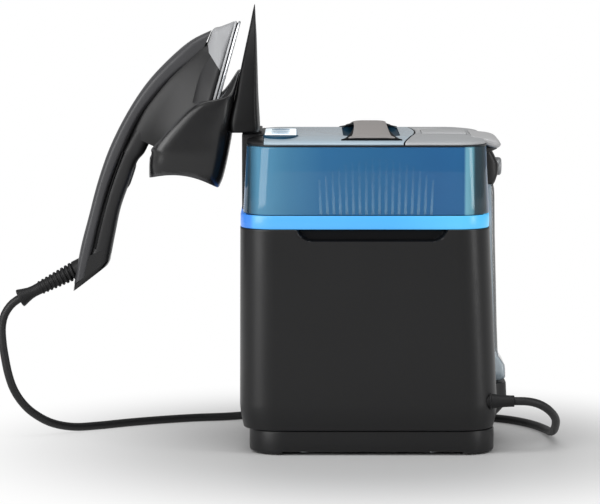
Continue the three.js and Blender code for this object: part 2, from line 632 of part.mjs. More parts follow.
function tankShell() {
  const ring = (inset, height) => roundedRing(
    TOP_HALF_LENGTH - inset, TOP_HALF_DEPTH - inset, CORNER - inset, height);
  let body = solid(loft([ring(2, tankFloor), ring(0.4, tankFloor + 2), ring(0.4, TANK_TOP)]));
  const legTop = tankFloor + 20;
  body = body.add(limbColumn(0, LIMB_OUTSTAND, LIMB_THICKNESS, LIMB_BOTTOM, legTop));
  const neckSlot = solid(box(endFace - 2, endFace + NECK_LENGTH + GAP,
    -NECK_HALF_WIDTH - GAP, NECK_HALF_WIDTH + GAP, tankFloor - 1, TANK_TOP + 1));
  const neckWall = solid(box(endFace - 2, endFace + NECK_LENGTH + GAP + TANK_WALL,
    -NECK_HALF_WIDTH - GAP - TANK_WALL, NECK_HALF_WIDTH + GAP + TANK_WALL, tankFloor - 1, TANK_TOP + 1));
  const hollow = solid(loft([ring(TANK_WALL + 1, tankFloor + TANK_WALL), ring(TANK_WALL, TANK_TOP + 1)]))
    .subtract(neckWall);
  const legHollow = limbColumn(TANK_WALL, LIMB_OUTSTAND, LIMB_THICKNESS, LIMB_BOTTOM + TANK_WALL, legTop + 2);
  body = body.subtract(hollow).subtract(legHollow).subtract(neckSlot);
  const outlet = [90, channelFace + GAP + TANK_WALL + 2].map((x) => new THREE.Vector3(x, 0, OUTLET_HEIGHT));
  return geometryOf(body.subtract(solid(rod(...outlet, OUTLET_RADIUS + GAP, 16))));
}
const OUTLET_RADIUS = 3.1;
add("tank_shell", tankShell(), tankBlue, tank);

// Outlet valve in the foot of the water leg
const outletFrom = new THREE.Vector3(channelFace - 8, 0, OUTLET_HEIGHT);
const outletTo = new THREE.Vector3(channelFace + GAP + TANK_WALL + 3, 0, OUTLET_HEIGHT);
add("outlet_valve", rod(outletFrom, outletTo, OUTLET_RADIUS, 16), softBlack, tank);

// Lid of the tank: the silver end of the top, with the fill opening under a flap
const flapHole = { x0: LID_START + 5, x1: LID_START + 37, half: 24 };
const flapTop = DECK_CROWN;
const ledge = 3; // the flap rests on this much of the lid all round
let lid = crown(0, deckUnderside, DECK_EDGE, DECK_CROWN).subtract(deckDisc(0));
lid = lid.subtract(solid(box(flapHole.x0 + ledge, flapHole.x1 - ledge,
  -flapHole.half + ledge, flapHole.half - ledge, TANK_TOP - 5, DECK_CROWN + 5)));
lid = lid.subtract(solid(box(flapHole.x0, flapHole.x1 + 8,
  -flapHole.half, flapHole.half, flapTop - 4, DECK_CROWN + 5)));
add("tank_lid", geometryOf(lid), silverPlastic, tank);

// Fill flap and its pin
const pinX = flapHole.x1 + 4;
const pinZ = flapTop - 1.9;
const pinHalf = flapHole.half - GAP;
const pinRadius = 0.8;
const PIN_PLAY = 0.15; // round a pin in its bore
const alongFlapPin = (half) => [-half, half].map((y) => new THREE.Vector3(pinX, y, pinZ));
let flap = solid(box(flapHole.x0 + GAP, pinX, -pinHalf, pinHalf, flapTop - 3.4, flapTop - 0.4));
flap = flap.add(solid(rod(...alongFlapPin(pinHalf - 3), 1.9, 16)));
flap = flap.subtract(solid(rod(...alongFlapPin(pinHalf + 2), pinRadius + PIN_PLAY, 12)));
add("fill_flap", geometryOf(flap), silverPlastic, tank);
add("flap_pin", rod(...alongFlapPin(pinHalf), pinRadius, 12), steel, tank);

// Grip lip at the tank's end, and the latch housing with its push knob below it
const gripEnd = 121;
const gripTop = 280;
const gripBottom = 264.8;
const gripHalf = 38;
const gripStart = TOP_HALF_LENGTH + GAP;
let grip = skin([
  { outer: [gripStart, gripTop], inner: [gripStart, gripBottom], wide: gripHalf, power: 6 },
  { outer: [gripEnd - 5, gripTop - 1], inner: [gripEnd - 5, gripBottom + 3], wide: gripHalf - 3, power: 5 },
  { outer: [gripEnd, gripTop - 5], inner: [gripEnd, gripBottom + 7], wide: gripHalf - 8, power: 3 },
], 18);
const fingerHalf = gripHalf - 8;
const fingerRoom = box(gripStart - 1, gripEnd - 4, -fingerHalf, fingerHalf, gripBottom - 2, gripTop - 6);
grip = solid(grip).subtract(solid(fingerRoom));
add("tank_grip", geometryOf(grip), silverPlastic, tank);

const latchTop = gripBottom - GAP;
const latchBottom = 236;
const latchOut = 116.5;
let latchHouse = solid(skin([
  { outer: [gripStart, latchTop], inner: [gripStart, latchBottom], wide: 26, power: 6 },
  { outer: [latchOut - 4, latchTop], inner: [latchOut - 4, latchBottom + 2], wide: 25, power: 6 },
  { outer: [latchOut, latchTop - 3], inner: [latchOut, latchBottom + 6], wide: 22, power: 5 },
], 18));
const knobHeight = 251;
const knobRadius = 7;
const knobAt = (x) => new THREE.Vector3(x, 0, knobHeight);
const knobWell = [gripStart + 2, latchOut + 5].map(knobAt);
latchHouse = latchHouse.subtract(solid(rod(...knobWell, knobRadius + GAP, 24)));
add("latch_housing", geometryOf(latchHouse), softBlack, tank);
const knobIn = latchOut - 2.9;
const knobProfile = [[0, 0], [knobRadius, 0], [knobRadius, 3.8], [knobRadius - 1.4, 5], [0, 5]];
add("latch_knob", turned(knobProfile, knobAt(knobIn), OUTWARDS, 24), silverPlastic, tank);

// Spring behind the knob
function coilSpring(start, direction, radius, wire, turns, length) {
  const points = [];
  const perTurn = 8;
  const steps = turns * perTurn;
  const turn = turnFromTo(UP, direction);
  for (let i = 0; i <= steps; i++) {
    const angle = (i / perTurn) * 2 * Math.PI;
    const arm = [radius * Math.cos(angle), radius * Math.sin(angle)];
    points.push(new THREE.Vector3(...arm, (length * i) / steps).applyQuaternion(turn).add(start));
  }
  return tube(points, wire, 4, steps);
}
const springStart = knobAt(gripStart + 2 + 0.8);
add("latch_spring", coilSpring(springStart, OUTWARDS, 4, 0.5, 1, 1.4), steel, tank);

// ---------------------------------------------------------------- rest
// Wedge-shaped plate: its front leans with the sole, its back is nearly upright
const restSections = [
  { outer: [-101.6, 396], inner: [-102.4, 394.6], wide: 1.2 },
  { outer: [-101, 386], inner: [-104.4, 384.8], wide: 13 },
  { outer: [-100.2, 368], inner: [-108.2, 366.6], wide: 25 },
  { outer: [-99.6, 345], inner: [-113.1, 343.6], wide: 35 },
  { outer: [-98.8, 315], inner: [-119.2, 314], wide: 43 },
  { outer: [-97.8, 296], inner: [-123.2, 295.4], wide: 47 },
  { outer: [-97.2, 284], inner: [-123.2, 284], wide: 47 },
];
let restPlate = solid(skin(restSections.map((section) => ({ ...section, power: 5 })), 18));
const restHollow = solid(skin([
  { outer: [-90, 345], inner: [-110, 343], wide: 32 },
  { outer: [-90, 315], inner: [-116, 314], wide: 40 },
  { outer: [-90, 282 + 4], inner: [-120, 282 + 4], wide: 44 },
].map((section) => ({ ...section, power: 5 })), 18));
restPlate = restPlate.subtract(restHollow);
add("rest_plate", geometryOf(restPlate), casingBlack);

// Foot of the rest: stands on the neck and carries plate and holster
const restBottom = restSections[restSections.length - 1].inner[1];
const restFootHalf = NECK_HALF_WIDTH - 4;
const restFootTop = restBottom - GAP;
const restFoot = solid(box(
  -123, endFace + NECK_LENGTH - 8, -restFootHalf, restFootHalf, neckTop + GAP, restFootTop));
add("rest_foot", geometryOf(restFoot), casingBlack);

// ---------------------------------------------------------------- handset
const handset = new THREE.Group();
handset.position.copy(TIP);
handset.rotation.y = LEAN;
root.add(handset);

// Half width of the sole at a distance from its tip
function soleHalf(distance) {
  const share = Math.min(1, distance / (SOLE_LENGTH * 0.8));
  const tail = Math.max(0, (distance - SOLE_LENGTH * 0.8) / (SOLE_LENGTH * 0.2));
  return SOLE_HALF_WIDTH * Math.sin((share * Math.PI) / 2) ** 0.82 * (1 - 0.3 * tail ** 3);
}

// Outline of the sole, shrunk by an inset
function soleOutline(inset, steps = 14) {
  const points = [];
  for (let i = 0; i <= steps; i++) {
    const distance = inset * 1.6 + ((SOLE_LENGTH - inset * 2.6) * i) / steps;
    points.push([Math.max(0, soleHalf(Math.max(0, distance)) - inset), -distance]);
  }
  return points;
}

// A plate in the sole's outline between two depths behind the sole
function solePlate(inset, front, back) {
  const half = soleOutline(inset);
  const tip = half[0][0] > 0.05 ? [half[0], [-half[0][0], half[0][1]]] : [[0, half[0][1]]];
  const side = half.slice(1);
  const otherSide = side.map(([y, z]) => [-y, z]).reverse();
  const outline = [tip[0], ...side, ...otherSide, ...tip.slice(1)];
  const shape = new THREE.Shape(outline.map(([y, z]) => new THREE.Vector2(y, z)));
  const geometry = new THREE.ExtrudeGeometry(shape, { depth: back - front, bevelEnabled: false });
  // the shape is drawn in (y, z); the extrusion runs along -x
  const toHandset = new THREE.Matrix4().makeBasis(
    new THREE.Vector3(0, 1, 0), new THREE.Vector3(0, 0, 1), new THREE.Vector3(1, 0, 0));
  geometry.applyMatrix4(toHandset);
  geometry.translate(-back, 0, 0);
  return geometry;
}

const steamHoles = [];
for (let row = 0; row < 5; row++) {
  const distance = 26 + row * 15;
  const half = soleHalf(distance) - 9;
  for (const side of [-1, 1]) steamHoles.push([side * half, -distance]);
}
steamHoles.push([0, -20]);
steamHoles.push([0, -34]);
let sole = solid(solePlate(0, 0, SOLE_THICKNESS));
for (const [y, z] of steamHoles) {
  const hole = rod(new THREE.Vector3(-SOLE_THICKNESS - 1, y, z), new THREE.Vector3(1, y, z), STEAM_HOLE, 8);
  sole = sole.subtract(solid(hole));
}
add("soleplate", geometryOf(sole), steel, handset);
const skirtBack = SOLE_THICKNESS + GAP + SKIRT_THICKNESS;
const chamberInset = 17;
const skirt = solid(solePlate(1, SOLE_THICKNESS + GAP, skirtBack))
  .subtract(solid(solePlate(chamberInset - 1, SOLE_THICKNESS - 1, skirtBack + 1)));
add("heat_skirt", geometryOf(skirt), silverPlastic, handset);
const chamberBack = 14;
add("steam_chamber", solePlate(chamberInset, SOLE_THICKNESS + GAP, chamberBack), castAluminium, handset);

// Side view of the handset: spine, parting line and the grip's inner edge
const bodyFace = -skirtBack - GAP;
const headSections = [
  { outer: [-9.4, -8], inner: [bodyFace, -10], wide: 6, wideInner: 9 },
  { outer: [-22, -26], inner: [bodyFace, -28], wide: 11, wideInner: soleHalf(28) - 2 },
  { outer: [-26.4, -39.4], inner: [bodyFace, -46], wide: 13, wideInner: soleHalf(46) - 2 },
  { outer: [-43.8, -64], inner: [bodyFace, -68], wide: 14, wideInner: soleHalf(68) - 2 },
  { outer: [-54.6, -83.4], inner: [bodyFace, -92], wide: 14, wideInner: soleHalf(92) - 2 },
  { outer: [-62, -101], inner: [bodyFace, -118], wide: 14, wideInner: soleHalf(118) - 3 },
  { outer: [-66, -124], inner: [bodyFace, -135.5], wide: 14, wideInner: soleHalf(SOLE_LENGTH) - 3 },
];
let head = solid(skin(headSections.map((section) => ({ ...section, power: 4 })), 18));
const headHollow = solid(skin([
  { outer: [-17, -30], inner: [4, -25], wide: 7, wideInner: soleHalf(25) - 5 },
  { outer: [-30, -62], inner: [4, -60], wide: 10, wideInner: soleHalf(60) - 5 },
  { outer: [-44, -92], inner: [4, -92], wide: 11, wideInner: soleHalf(92) - 5 },
  { outer: [-54, -118], inner: [4, -118], wide: 11, wideInner: soleHalf(118) - 5 },
  { outer: [-56, -127], inner: [4, -131], wide: 11, wideInner: soleHalf(SOLE_LENGTH) - 6 },
].map((section) => ({ ...section, power: 4 })), 18));
head = head.subtract(headHollow);
head = head.subtract(solid(solePlate(chamberInset - 1, -1, chamberBack + 1)));
// outlet for the steam line into the grip
head = head.subtract(solid(rod(new THREE.Vector3(-40, 0, -118), new THREE.Vector3(-72, 0, -140), 5, 16)));

const spineSections = [
  { outer: [-23.4, -15.2], inner: [-26.6, -38.6], wide: 12 },
  { outer: [-39.5, -29.3], inner: [-35, -50], wide: 14.5 },
  { outer: [-54.8, -52.1], inner: [-44.6, -63.4], wide: 15.5 },
  { outer: [-67.5, -77.2], inner: [-55.2, -83], wide: HANDLE_HALF_WIDTH },
  { outer: [-77.1, -107], inner: [-65, -108], wide: HANDLE_HALF_WIDTH },
  { outer: [-83.8, -140.7], inner: [-71.3, -142.8], wide: HANDLE_HALF_WIDTH },
  { outer: [-86.1, -174.2], inner: [-74.8, -175], wide: HANDLE_HALF_WIDTH },
  { outer: [-85.8, -206.2], inner: [-75, -206], wide: HANDLE_HALF_WIDTH },
  { outer: [-85.4, -235.3], inner: [-74, -232], wide: HANDLE_HALF_WIDTH },
  { outer: [-82.6, -268.4], inner: [-73.4, -257.5], wide: 13.5 },
];
const spine = solid(skin(spineSections.map((section) => ({ ...section, power: 3.4 })), 18));
const spineRoom = solid(skin(spineSections.map(({ outer, inner, wide }) => ({
  outer, inner: [inner[0] + GAP, inner[1] - GAP], wide: wide + GAP, power: 3.4,
})), 18));
head = head.subtract(spineRoom);

// Grip: the inner half of the handle, hollow for the hose's inner line
const gripSections = [
  { outer: [-68, -119], inner: [-50.5, -127], wide: 13, power: 3 },
  { outer: [-71.5, -134], inner: [-50.6, -136.4], wide: 13.5, power: 3 },
  { outer: [-74, -146], inner: [-56.6, -146.8], wide: 14, power: 3 },
  { outer: [-76, -164], inner: [-58, -163], wide: 14.5, power: 3 },
  { outer: [-77, -190], inner: [-60.1, -190], wide: 15, power: 3 },
  { outer: [-77, -215], inner: [-58.8, -214.4], wide: 15, power: 3 },
  { outer: [-75.7, -260.2], inner: [-57, -238], wide: 13.5, power: 3 },
];
let handGrip = solid(skin(gripSections, 18));
const gripHollow = solid(skin([
  { outer: [-80, -108], inner: [-44, -116], wide: 8, power: 3 },
  { outer: [-80, -134], inner: [-56, -135], wide: 9.5, power: 3 },
  { outer: [-80, -164], inner: [-62, -164], wide: 11, power: 3 },
  { outer: [-80, -215], inner: [-63.5, -215], wide: 11, power: 3 },
  { outer: [-80, -262], inner: [-63, -243], wide: 10, power: 3 },
], 18));
handGrip = handGrip.subtract(spineRoom).subtract(gripHollow);
const headRoom = solid(skin(headSections.map(({ outer, inner, wide, wideInner }) => ({
  outer: [outer[0] - GAP, outer[1] - GAP],
  inner: [inner[0], inner[1] - GAP],
  wide: wide + 1,
  wideInner: wideInner + 1,
  power: 4,
})), 18));
handGrip = handGrip.subtract(headRoom);

// Trigger in a notch on the grip's inner edge
const triggerPin = new THREE.Vector3(-60, 0, -150);
const triggerSections = [
  { outer: [-62, -147.4], inner: [-57.2, -146.8], wide: 5 },
  { outer: [-62.6, -152], inner: [-55.2, -152], wide: 5.6 },
  { outer: [-63, -166], inner: [-54.6, -166], wide: 5.6 },
  { outer: [-63, -172], inner: [-57.4, -172], wide: 5 },
];
const triggerNotch = solid(box(-67, -50, -6.4, 6.4, -178, -145.6));
handGrip = handGrip.subtract(triggerNotch);
let trigger = solid(skin(triggerSections.map((section) => ({ ...section, power: 4 })), 16));
const acrossPin = (half) => [triggerPin.clone().setY(-half), triggerPin.clone().setY(half)];
const triggerPinRadius = 1;
trigger = trigger.subtract(solid(rod(...acrossPin(10), triggerPinRadius + PIN_PLAY, 12)));
handGrip = handGrip.subtract(solid(rod(...acrossPin(9.5), triggerPinRadius + PIN_PLAY, 12)));

// Recess for the nose panel
const nose = skin([
  { outer: [-7, -2.8], inner: [bodyFace + 0.4, -4.4], wide: 2.2 },
  { outer: [-12.4, -7], inner: [-10.1, -7.8], wide: 7 },
  { outer: [-22.4, -14.6], inner: [-21.8, -25.4], wide: 11 },
].map((section) => ({ ...section, power: 3 })), 16);
// Hose boot at the rear of the spine: ribs that bend, then a flared cuff
const bootWay = new THREE.Vector3(-Math.cos(CUFF_ANGLE), 0, -Math.sin(CUFF_ANGLE));
const bootSeat = new THREE.Vector3(-83.7, 0, -255.7);
const bootSink = 8;
const bootRadius = 8.3;
const bootStart = bootSeat.clone().addScaledVector(bootWay, -bootSink);
const ribCount = 9;
const ribPitch = 4;
const bootProfile = [[0, 0], [bootRadius, 0], [bootRadius, bootSink + 2]];
for (let i = 0; i < ribCount; i++) {
  const height = bootSink + 2 + i * ribPitch;
  const crest = bootRadius - 0.22 * i;
  bootProfile.push([crest - 1.7, height + 0.8], [crest, height + 1.8], [crest, height + ribPitch]);
}
const ribEnd = bootSink + 2 + ribCount * ribPitch;
const bootEnd = ribEnd + 20;
const waist = 5.2;
bootProfile.push([waist, ribEnd + 1], [waist, ribEnd + 10], [6.6, ribEnd + 15],
  [bootRadius, bootEnd - 2], [bootRadius, bootEnd], [0, bootEnd]);
const alongBoot = (distance) => bootStart.clone().addScaledVector(bootWay, distance);
const bootPocket = rod(alongBoot(-14), alongBoot(26), bootRadius + GAP, 24);

const headWithRoom = head.subtract(solid(nose));
add("head_shell", geometryOf(headWithRoom), casingBlack, handset);
add("nose_panel", nosePanel(), silverPlastic, handset);
add("spine_cover", geometryOf(spine.subtract(solid(bootPocket))), softBlack, handset);
add("hand_grip", geometryOf(handGrip.subtract(solid(bootPocket))), casingBlack, handset);
add("steam_trigger", geometryOf(trigger), softBlack, handset);
add("trigger_pin", rod(...acrossPin(9), triggerPinRadius, 12), steel, handset);
add("hose_boot", turned(bootProfile, bootStart, bootWay, 12), rubberBlack, handset);

// Silver facet over the tip, set just clear of the recess that the head holds for it
function nosePanel() {
  return skin([
    { outer: [-7.6, -2.6], inner: [bodyFace - 0.2, -4], wide: 1.8 },
    { outer: [-12.9, -6.7], inner: [-10.6, -7.2], wide: 6.4 },
    { outer: [-22.5, -14.2], inner: [-22.1, -24.8], wide: 10.6 },
  ].map((section) => ({ ...section, power: 3 })), 16);
}

// Cap over the slanted rear end
add("rear_cap", skin([
  { outer: [-82.6, -269], inner: [-57, -238.6], wide: 13.4, power: 3 },
  { outer: [-81.6, -275.4], inner: [-57.6, -243.4], wide: 12, power: 3 },
], 18), softBlack, handset);

// Switch and return spring behind the trigger
add("micro_switch", box(-71, -65.5, -9.8, -0.5, -168, -154), innerBlack, handset);
const springRoot = new THREE.Vector3(-73.7, -3.5, -172);
add("trigger_spring", coilSpring(springRoot, OUTWARDS, 2.6, 0.4, 3, 7), steel, handset);

// Steam line from the boot to the chamber
add("handset_tube", tube([
  alongBoot(-GAP - 0.6),
  alongBoot(-7),
  new THREE.Vector3(-69, 3, -236),
  new THREE.Vector3(-68.5, 4.6, -215),
  new THREE.Vector3(-68.5, 4.8, -185),
  new THREE.Vector3(-68.5, 4.8, -160),
  new THREE.Vector3(-66, 3, -139),
  new THREE.Vector3(-57, 0, -129),
  new THREE.Vector3(-40, 0, -116.5),
  new THREE.Vector3(-26, 0, -104),
  new THREE.Vector3(-chamberBack - 6, 0, -98),
  new THREE.Vector3(-chamberBack - 1, 0, -97),
], 2, 6, 26), siliconeTube, handset);

// ---------------------------------------------------------------- holster
// A pocket round the handset's heel, part of the rest, drawn in the handset's own frame
const heelFloor = -SOLE_LENGTH - GAP;
const holsterSections = [
  { outer: [-42, -156], inner: [19.5, -147], wide: 42 },
  { outer: [-45, -146], inner: [20.6, -138], wide: 49 },
  { outer: [-47.5, -134], inner: [19.6, -120], wide: 51.5 },
  { outer: [-50, -127.5], inner: [17.6, -98.4], wide: 51.5 },
  { outer: [-39, -103.6], inner: [15.4, -80], wide: 51 },
  { outer: [-24, -80.6], inner: [13.6, -66], wide: 50 },
  { outer: [-1.7, -70], inner: [12.6, -58], wide: 46 },
  { outer: [8.4, -45], inner: [11.2, -43], wide: 32 },
];
let holster = solid(skin(holsterSections.map((section) => ({ ...section, power: 4.5 })), 18));
const sideRoom = SOLE_HALF_WIDTH + 1.6; // the widest part of the sole has to slide out upwards
const holsterRoom = solid(solePlate(-1.6, -GAP, 90))
  .intersect(solid(box(-100, 20, -80, 80, heelFloor, 20)))
  .add(solid(box(-89, GAP, -sideRoom, sideRoom, -SOLE_LENGTH * 0.8, 22)));
const frontHollow = solid(box(3.6, 14.6, -38, 38, -170, -72));
holster = holster.subtract(holsterRoom).subtract(frontHollow);
handset.updateMatrix();
const holsterWorld = solid(geometryOf(holster).applyMatrix4(handset.matrix));
const plateRoom = solid(skin(restSections.map(({ inner, wide }, i) => {
  const height = inner[1] - (i === restSections.length - 1 ? GAP : 0);
  return { outer: [inner[0] + 60, height], inner: [inner[0] - GAP, height], wide: wide + 20, power: 8 };
}), 24));
const footRoom = solid(box(-124 - GAP, -90, -restFootHalf - 1, restFootHalf + 1, 250, restBottom));
add("rest_holster", geometryOf(holsterWorld.subtract(plateRoom).subtract(footRoom)), casingBlack);

// ---------------------------------------------------------------- hose
const hoseRadius = HOSE_DIAMETER / 2;
const glandEndPoint = GLAND_PLACE.clone().setX(GLAND_PLACE.x + GLAND_LENGTH + GAP);
const coilSide = COIL_MIDDLE.y - COIL_RADIUS; // the hose meets the coil on the base's side
const coilBottom = 0.2;
const coilTop = HOSE_DIAMETER * (COIL_TURNS + 1);
const tangentGap = 26;
const hoseOut = [
  glandEndPoint,
  glandEndPoint.clone().addScaledVector(OUTWARDS, 1.7),
  new THREE.Vector3(140.8, -74.7, 46.8),
  new THREE.Vector3(150, -70.9, 44.3),
  new THREE.Vector3(157.9, -64.9, 39.6),
  new THREE.Vector3(163.9, -57, 33.6),
  new THREE.Vector3(167.7, -47.8, 27.4),
  new THREE.Vector3(169, -38, 21.6),
  new THREE.Vector3(169.3, -22, 14.5),
  new THREE.Vector3(169, -4, 8.8),
  new THREE.Vector3(168, 14, 5.2),
  new THREE.Vector3(165, 34, 4.05),
  new THREE.Vector3(158, 55, 4),
  new THREE.Vector3(148, 74, 4),
  new THREE.Vector3(133, 91.5, 4),
  new THREE.Vector3(112, 104, 4),
  new THREE.Vector3(85, 111, 4),
  new THREE.Vector3(56, coilSide, 4),
  new THREE.Vector3(tangentGap, coilSide, 4),
];
add("hose_lower", tube(hoseOut, hoseRadius, 8, 32), rubberBlack);

const coilProfile = [
  [COIL_RADIUS - hoseRadius, coilBottom],
  [COIL_RADIUS + hoseRadius, coilBottom],
  [COIL_RADIUS + hoseRadius, coilTop],
  [COIL_RADIUS - hoseRadius, coilTop],
  [COIL_RADIUS - hoseRadius, coilBottom],
];
add("hose_coil", turned(coilProfile, COIL_MIDDLE, UP, 24), rubberBlack);

const cuffEnd = alongBoot(bootEnd + GAP + 0.1).applyMatrix4(handset.matrix);
const bootWayWorld = bootWay.clone().transformDirection(handset.matrix);
const hoseUp = [
  new THREE.Vector3(-tangentGap, coilSide, coilTop - hoseRadius),
  new THREE.Vector3(-50, coilSide, 22.5),
  new THREE.Vector3(-78, 114, 13),
  new THREE.Vector3(-104, 113, 6),
  new THREE.Vector3(-128, 110, 4),
  new THREE.Vector3(-160, 102, 4),
  new THREE.Vector3(-192, 89, 4),
  new THREE.Vector3(-222, 73, 4),
  new THREE.Vector3(-248, 56, 4),
  new THREE.Vector3(-270, 40, 5.4),
  new THREE.Vector3(-289, 25, 11.5),
  new THREE.Vector3(-304, 13, 22),
  new THREE.Vector3(-314, 6, 33),
  new THREE.Vector3(-321.5, 2, 46),
  new THREE.Vector3(-326, 0, 60),
  new THREE.Vector3(-329, 0, 75),
  new THREE.Vector3(-331, 0, 89),
  new THREE.Vector3(-331.6, 0, 103),
  new THREE.Vector3(-329.2, 0, 114.3),
  new THREE.Vector3(-323.3, 0, 123.5),
  cuffEnd.clone().addScaledVector(bootWayWorld, 1.5),
  cuffEnd,
];
add("hose_upper", tube(hoseUp, hoseRadius, 8, 44), rubberBlack);

// The origin is under the middle of the object, with the free hose left out
root.updateMatrixWorld(true);
const extent = new THREE.Box3();
const freeHose = ["hose_lower", "hose_coil", "hose_upper"];
root.traverse((piece) => {
  if (piece.isMesh && !freeHose.includes(piece.name)) {
    extent.union(new THREE.Box3().setFromObject(piece, true));
  }
});
root.position.set(-(extent.min.x + extent.max.x) / 2, -(extent.min.y + extent.max.y) / 2, 0);

export default root;
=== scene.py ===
"""Looks of a compact steam generator iron: a cube-shaped base with a drawer tank on top, an
upright rest, and a small handset parked nose-up in the rest's holster. Metres, +Z up, +X
towards the tank's grip, the handset at -X."""

import math

import bmesh
import bpy
from mathutils import Matrix, Vector


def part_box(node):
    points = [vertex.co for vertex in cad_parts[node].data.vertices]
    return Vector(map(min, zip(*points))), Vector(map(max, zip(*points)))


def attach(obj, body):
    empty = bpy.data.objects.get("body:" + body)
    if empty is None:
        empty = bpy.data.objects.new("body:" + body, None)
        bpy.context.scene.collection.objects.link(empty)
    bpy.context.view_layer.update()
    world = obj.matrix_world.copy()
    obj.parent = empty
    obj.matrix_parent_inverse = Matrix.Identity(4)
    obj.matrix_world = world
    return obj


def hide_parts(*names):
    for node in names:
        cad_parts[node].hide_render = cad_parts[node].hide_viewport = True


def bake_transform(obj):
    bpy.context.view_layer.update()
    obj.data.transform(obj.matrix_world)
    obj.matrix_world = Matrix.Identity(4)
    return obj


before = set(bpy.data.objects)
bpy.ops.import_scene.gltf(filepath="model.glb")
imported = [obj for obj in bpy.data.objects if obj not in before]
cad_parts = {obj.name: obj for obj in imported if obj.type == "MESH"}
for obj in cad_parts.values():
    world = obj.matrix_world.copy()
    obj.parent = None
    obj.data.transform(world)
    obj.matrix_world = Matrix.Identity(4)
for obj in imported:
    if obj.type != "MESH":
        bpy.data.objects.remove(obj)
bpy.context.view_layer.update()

# ---------------------------------------------------------------- places and sizes
plinth_low, plinth_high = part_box("base_plinth")
BASE_X = (plinth_low.x + plinth_high.x) / 2  # middle of the base, from the part's origin
MM = 0.001

# base casing, in millimetres from the middle of the base
PLINTH_TOP = 22
PLINTH_HALF_LENGTH = 109
PLINTH_HALF_DEPTH = 86.5
TUCK_TOP = 44
BAND_BOTTOM = 201
BAND_TOP = 213.6
HALF_LENGTH = 114.5
HALF_DEPTH = 90
TOP_HALF_LENGTH = 107
TOP_HALF_DEPTH = 87
STEP_OUT = 7  # the upright -X wall stands this far past the tank, at the top
CORNER = 30
WALL = 2.6
LIMB_HALF_WIDTH = 30  # the tank's water leg, down the +X end
LIMB_OUTSTAND = 4.5
LIMB_THICKNESS = 12
LIMB_BOTTOM = 58
TANK_TOP = 274.4
DECK_EDGE = 276.8
DECK_CROWN = 281.5
NECK_LENGTH = 20
NECK_HALF_WIDTH = 34
NECK_ROOM = 0.4  # between the neck column and what is cut for it
LID_START = 43  # where the curved seam between deck and lid crosses the middle
LID_RADIUS = 321
CORNER_STEPS = 14
PLINTH_SHIFT = 3  # the plinth sits a little towards +X
STRAP_HALF_SPAN = 80
STRAP_TOP = 290.2
STRAP_MIDDLE = 2
SCOOP_MIDDLE = 2.5
SCOOP_BOTTOM = 190.5
SCOOP_DEPTH = 7
KEY_ROWS = ((0, 0), (2.6, 0), (2.9, 0.3), (3.0, 0.8), (2.9, 1.6))  # height and inset of an oval key
GLAND_SEAT = (106, -76, 47.3)

# handset: its own frame has the sole in the plane x = 0 and the tip at the origin
LEAN = math.radians(15.5)
TIP = (-114, 380.5)
SOLE_LENGTH = 137
SOLE_HALF_WIDTH = 45
BOOT_SEAT = (-83.7, 0, -255.7)  # where the hose boot leaves the handle, in the handset's frame
BOOT_LENGTH = 58.5
CUFF_ANGLE = math.radians(42.7)


def place(x, y, z):
    """Millimetres from the middle of the base to metres in the part's frame."""
    return Vector((BASE_X + x * MM, y * MM, z * MM))


def hand(x, y, z):
    """Millimetres in the handset's own frame to metres in the part's frame."""
    turned_x = TIP[0] + x * math.cos(LEAN) + z * math.sin(LEAN)
    turned_z = TIP[1] - x * math.sin(LEAN) + z * math.cos(LEAN)
    return place(turned_x, y, turned_z)


def link_object(name, data):
    """A new object at the origin, put in the scene."""
    item = bpy.data.objects.new(name, data)
    bpy.context.scene.collection.objects.link(item)
    return item


# ---------------------------------------------------------------- camera
def build_camera():
    """A long lens level with the lower half of the handset, straight on to the front."""
    data = bpy.data.cameras.new("studio_camera")
    data.lens = 200
    data.sensor_width = 36
    data.clip_end = 20
    camera = link_object("studio_camera", data)
    camera.location = place(-61, -3000, 500)
    aim = place(-61, 0, 172) - camera.location
    camera.rotation_euler = aim.to_track_quat("-Z", "Y").to_euler()
    bpy.context.scene.camera = camera


build_camera()


# ---------------------------------------------------------------- shader node helpers
def new_group(name, inputs, outputs):
    """A shader node group with named sockets; returns the tree and its two end nodes."""
    group = bpy.data.node_groups.new(name, "ShaderNodeTree")
    for label, kind, value in inputs:
        socket = group.interface.new_socket(label, in_out="INPUT", socket_type=kind)
        socket.default_value = value
    for label, kind in outputs:
        group.interface.new_socket(label, in_out="OUTPUT", socket_type=kind)
    return group, group.nodes.new("NodeGroupInput"), group.nodes.new("NodeGroupOutput")


def maths(tree, operation, a, b, clamp=False):
    """A Math node whose two operands are sockets or plain numbers; returns its output."""
    node = tree.nodes.new("ShaderNodeMath")
    node.operation = operation
    node.use_clamp = clamp
    for slot_index, operand in enumerate((a, b)):
        if isinstance(operand, (int, float)):
            node.inputs[slot_index].default_value = operand
        else:
            tree.links.new(operand, node.inputs[slot_index])
    return node.outputs[0]


def blend_colour(tree, factor, first, second, mode="MIX"):
    """A colour Mix node; factor and colours are sockets or plain values."""
    node = tree.nodes.new("ShaderNodeMix")
    node.data_type = "RGBA"
    node.blend_type = mode
    for socket, value in ((node.inputs[0], factor), (node.inputs[6], first), (node.inputs[7], second)):
        if isinstance(value, (int, float, tuple)):
            socket.default_value = value
        else:
            tree.links.new(value, socket)
    return node.outputs[2]


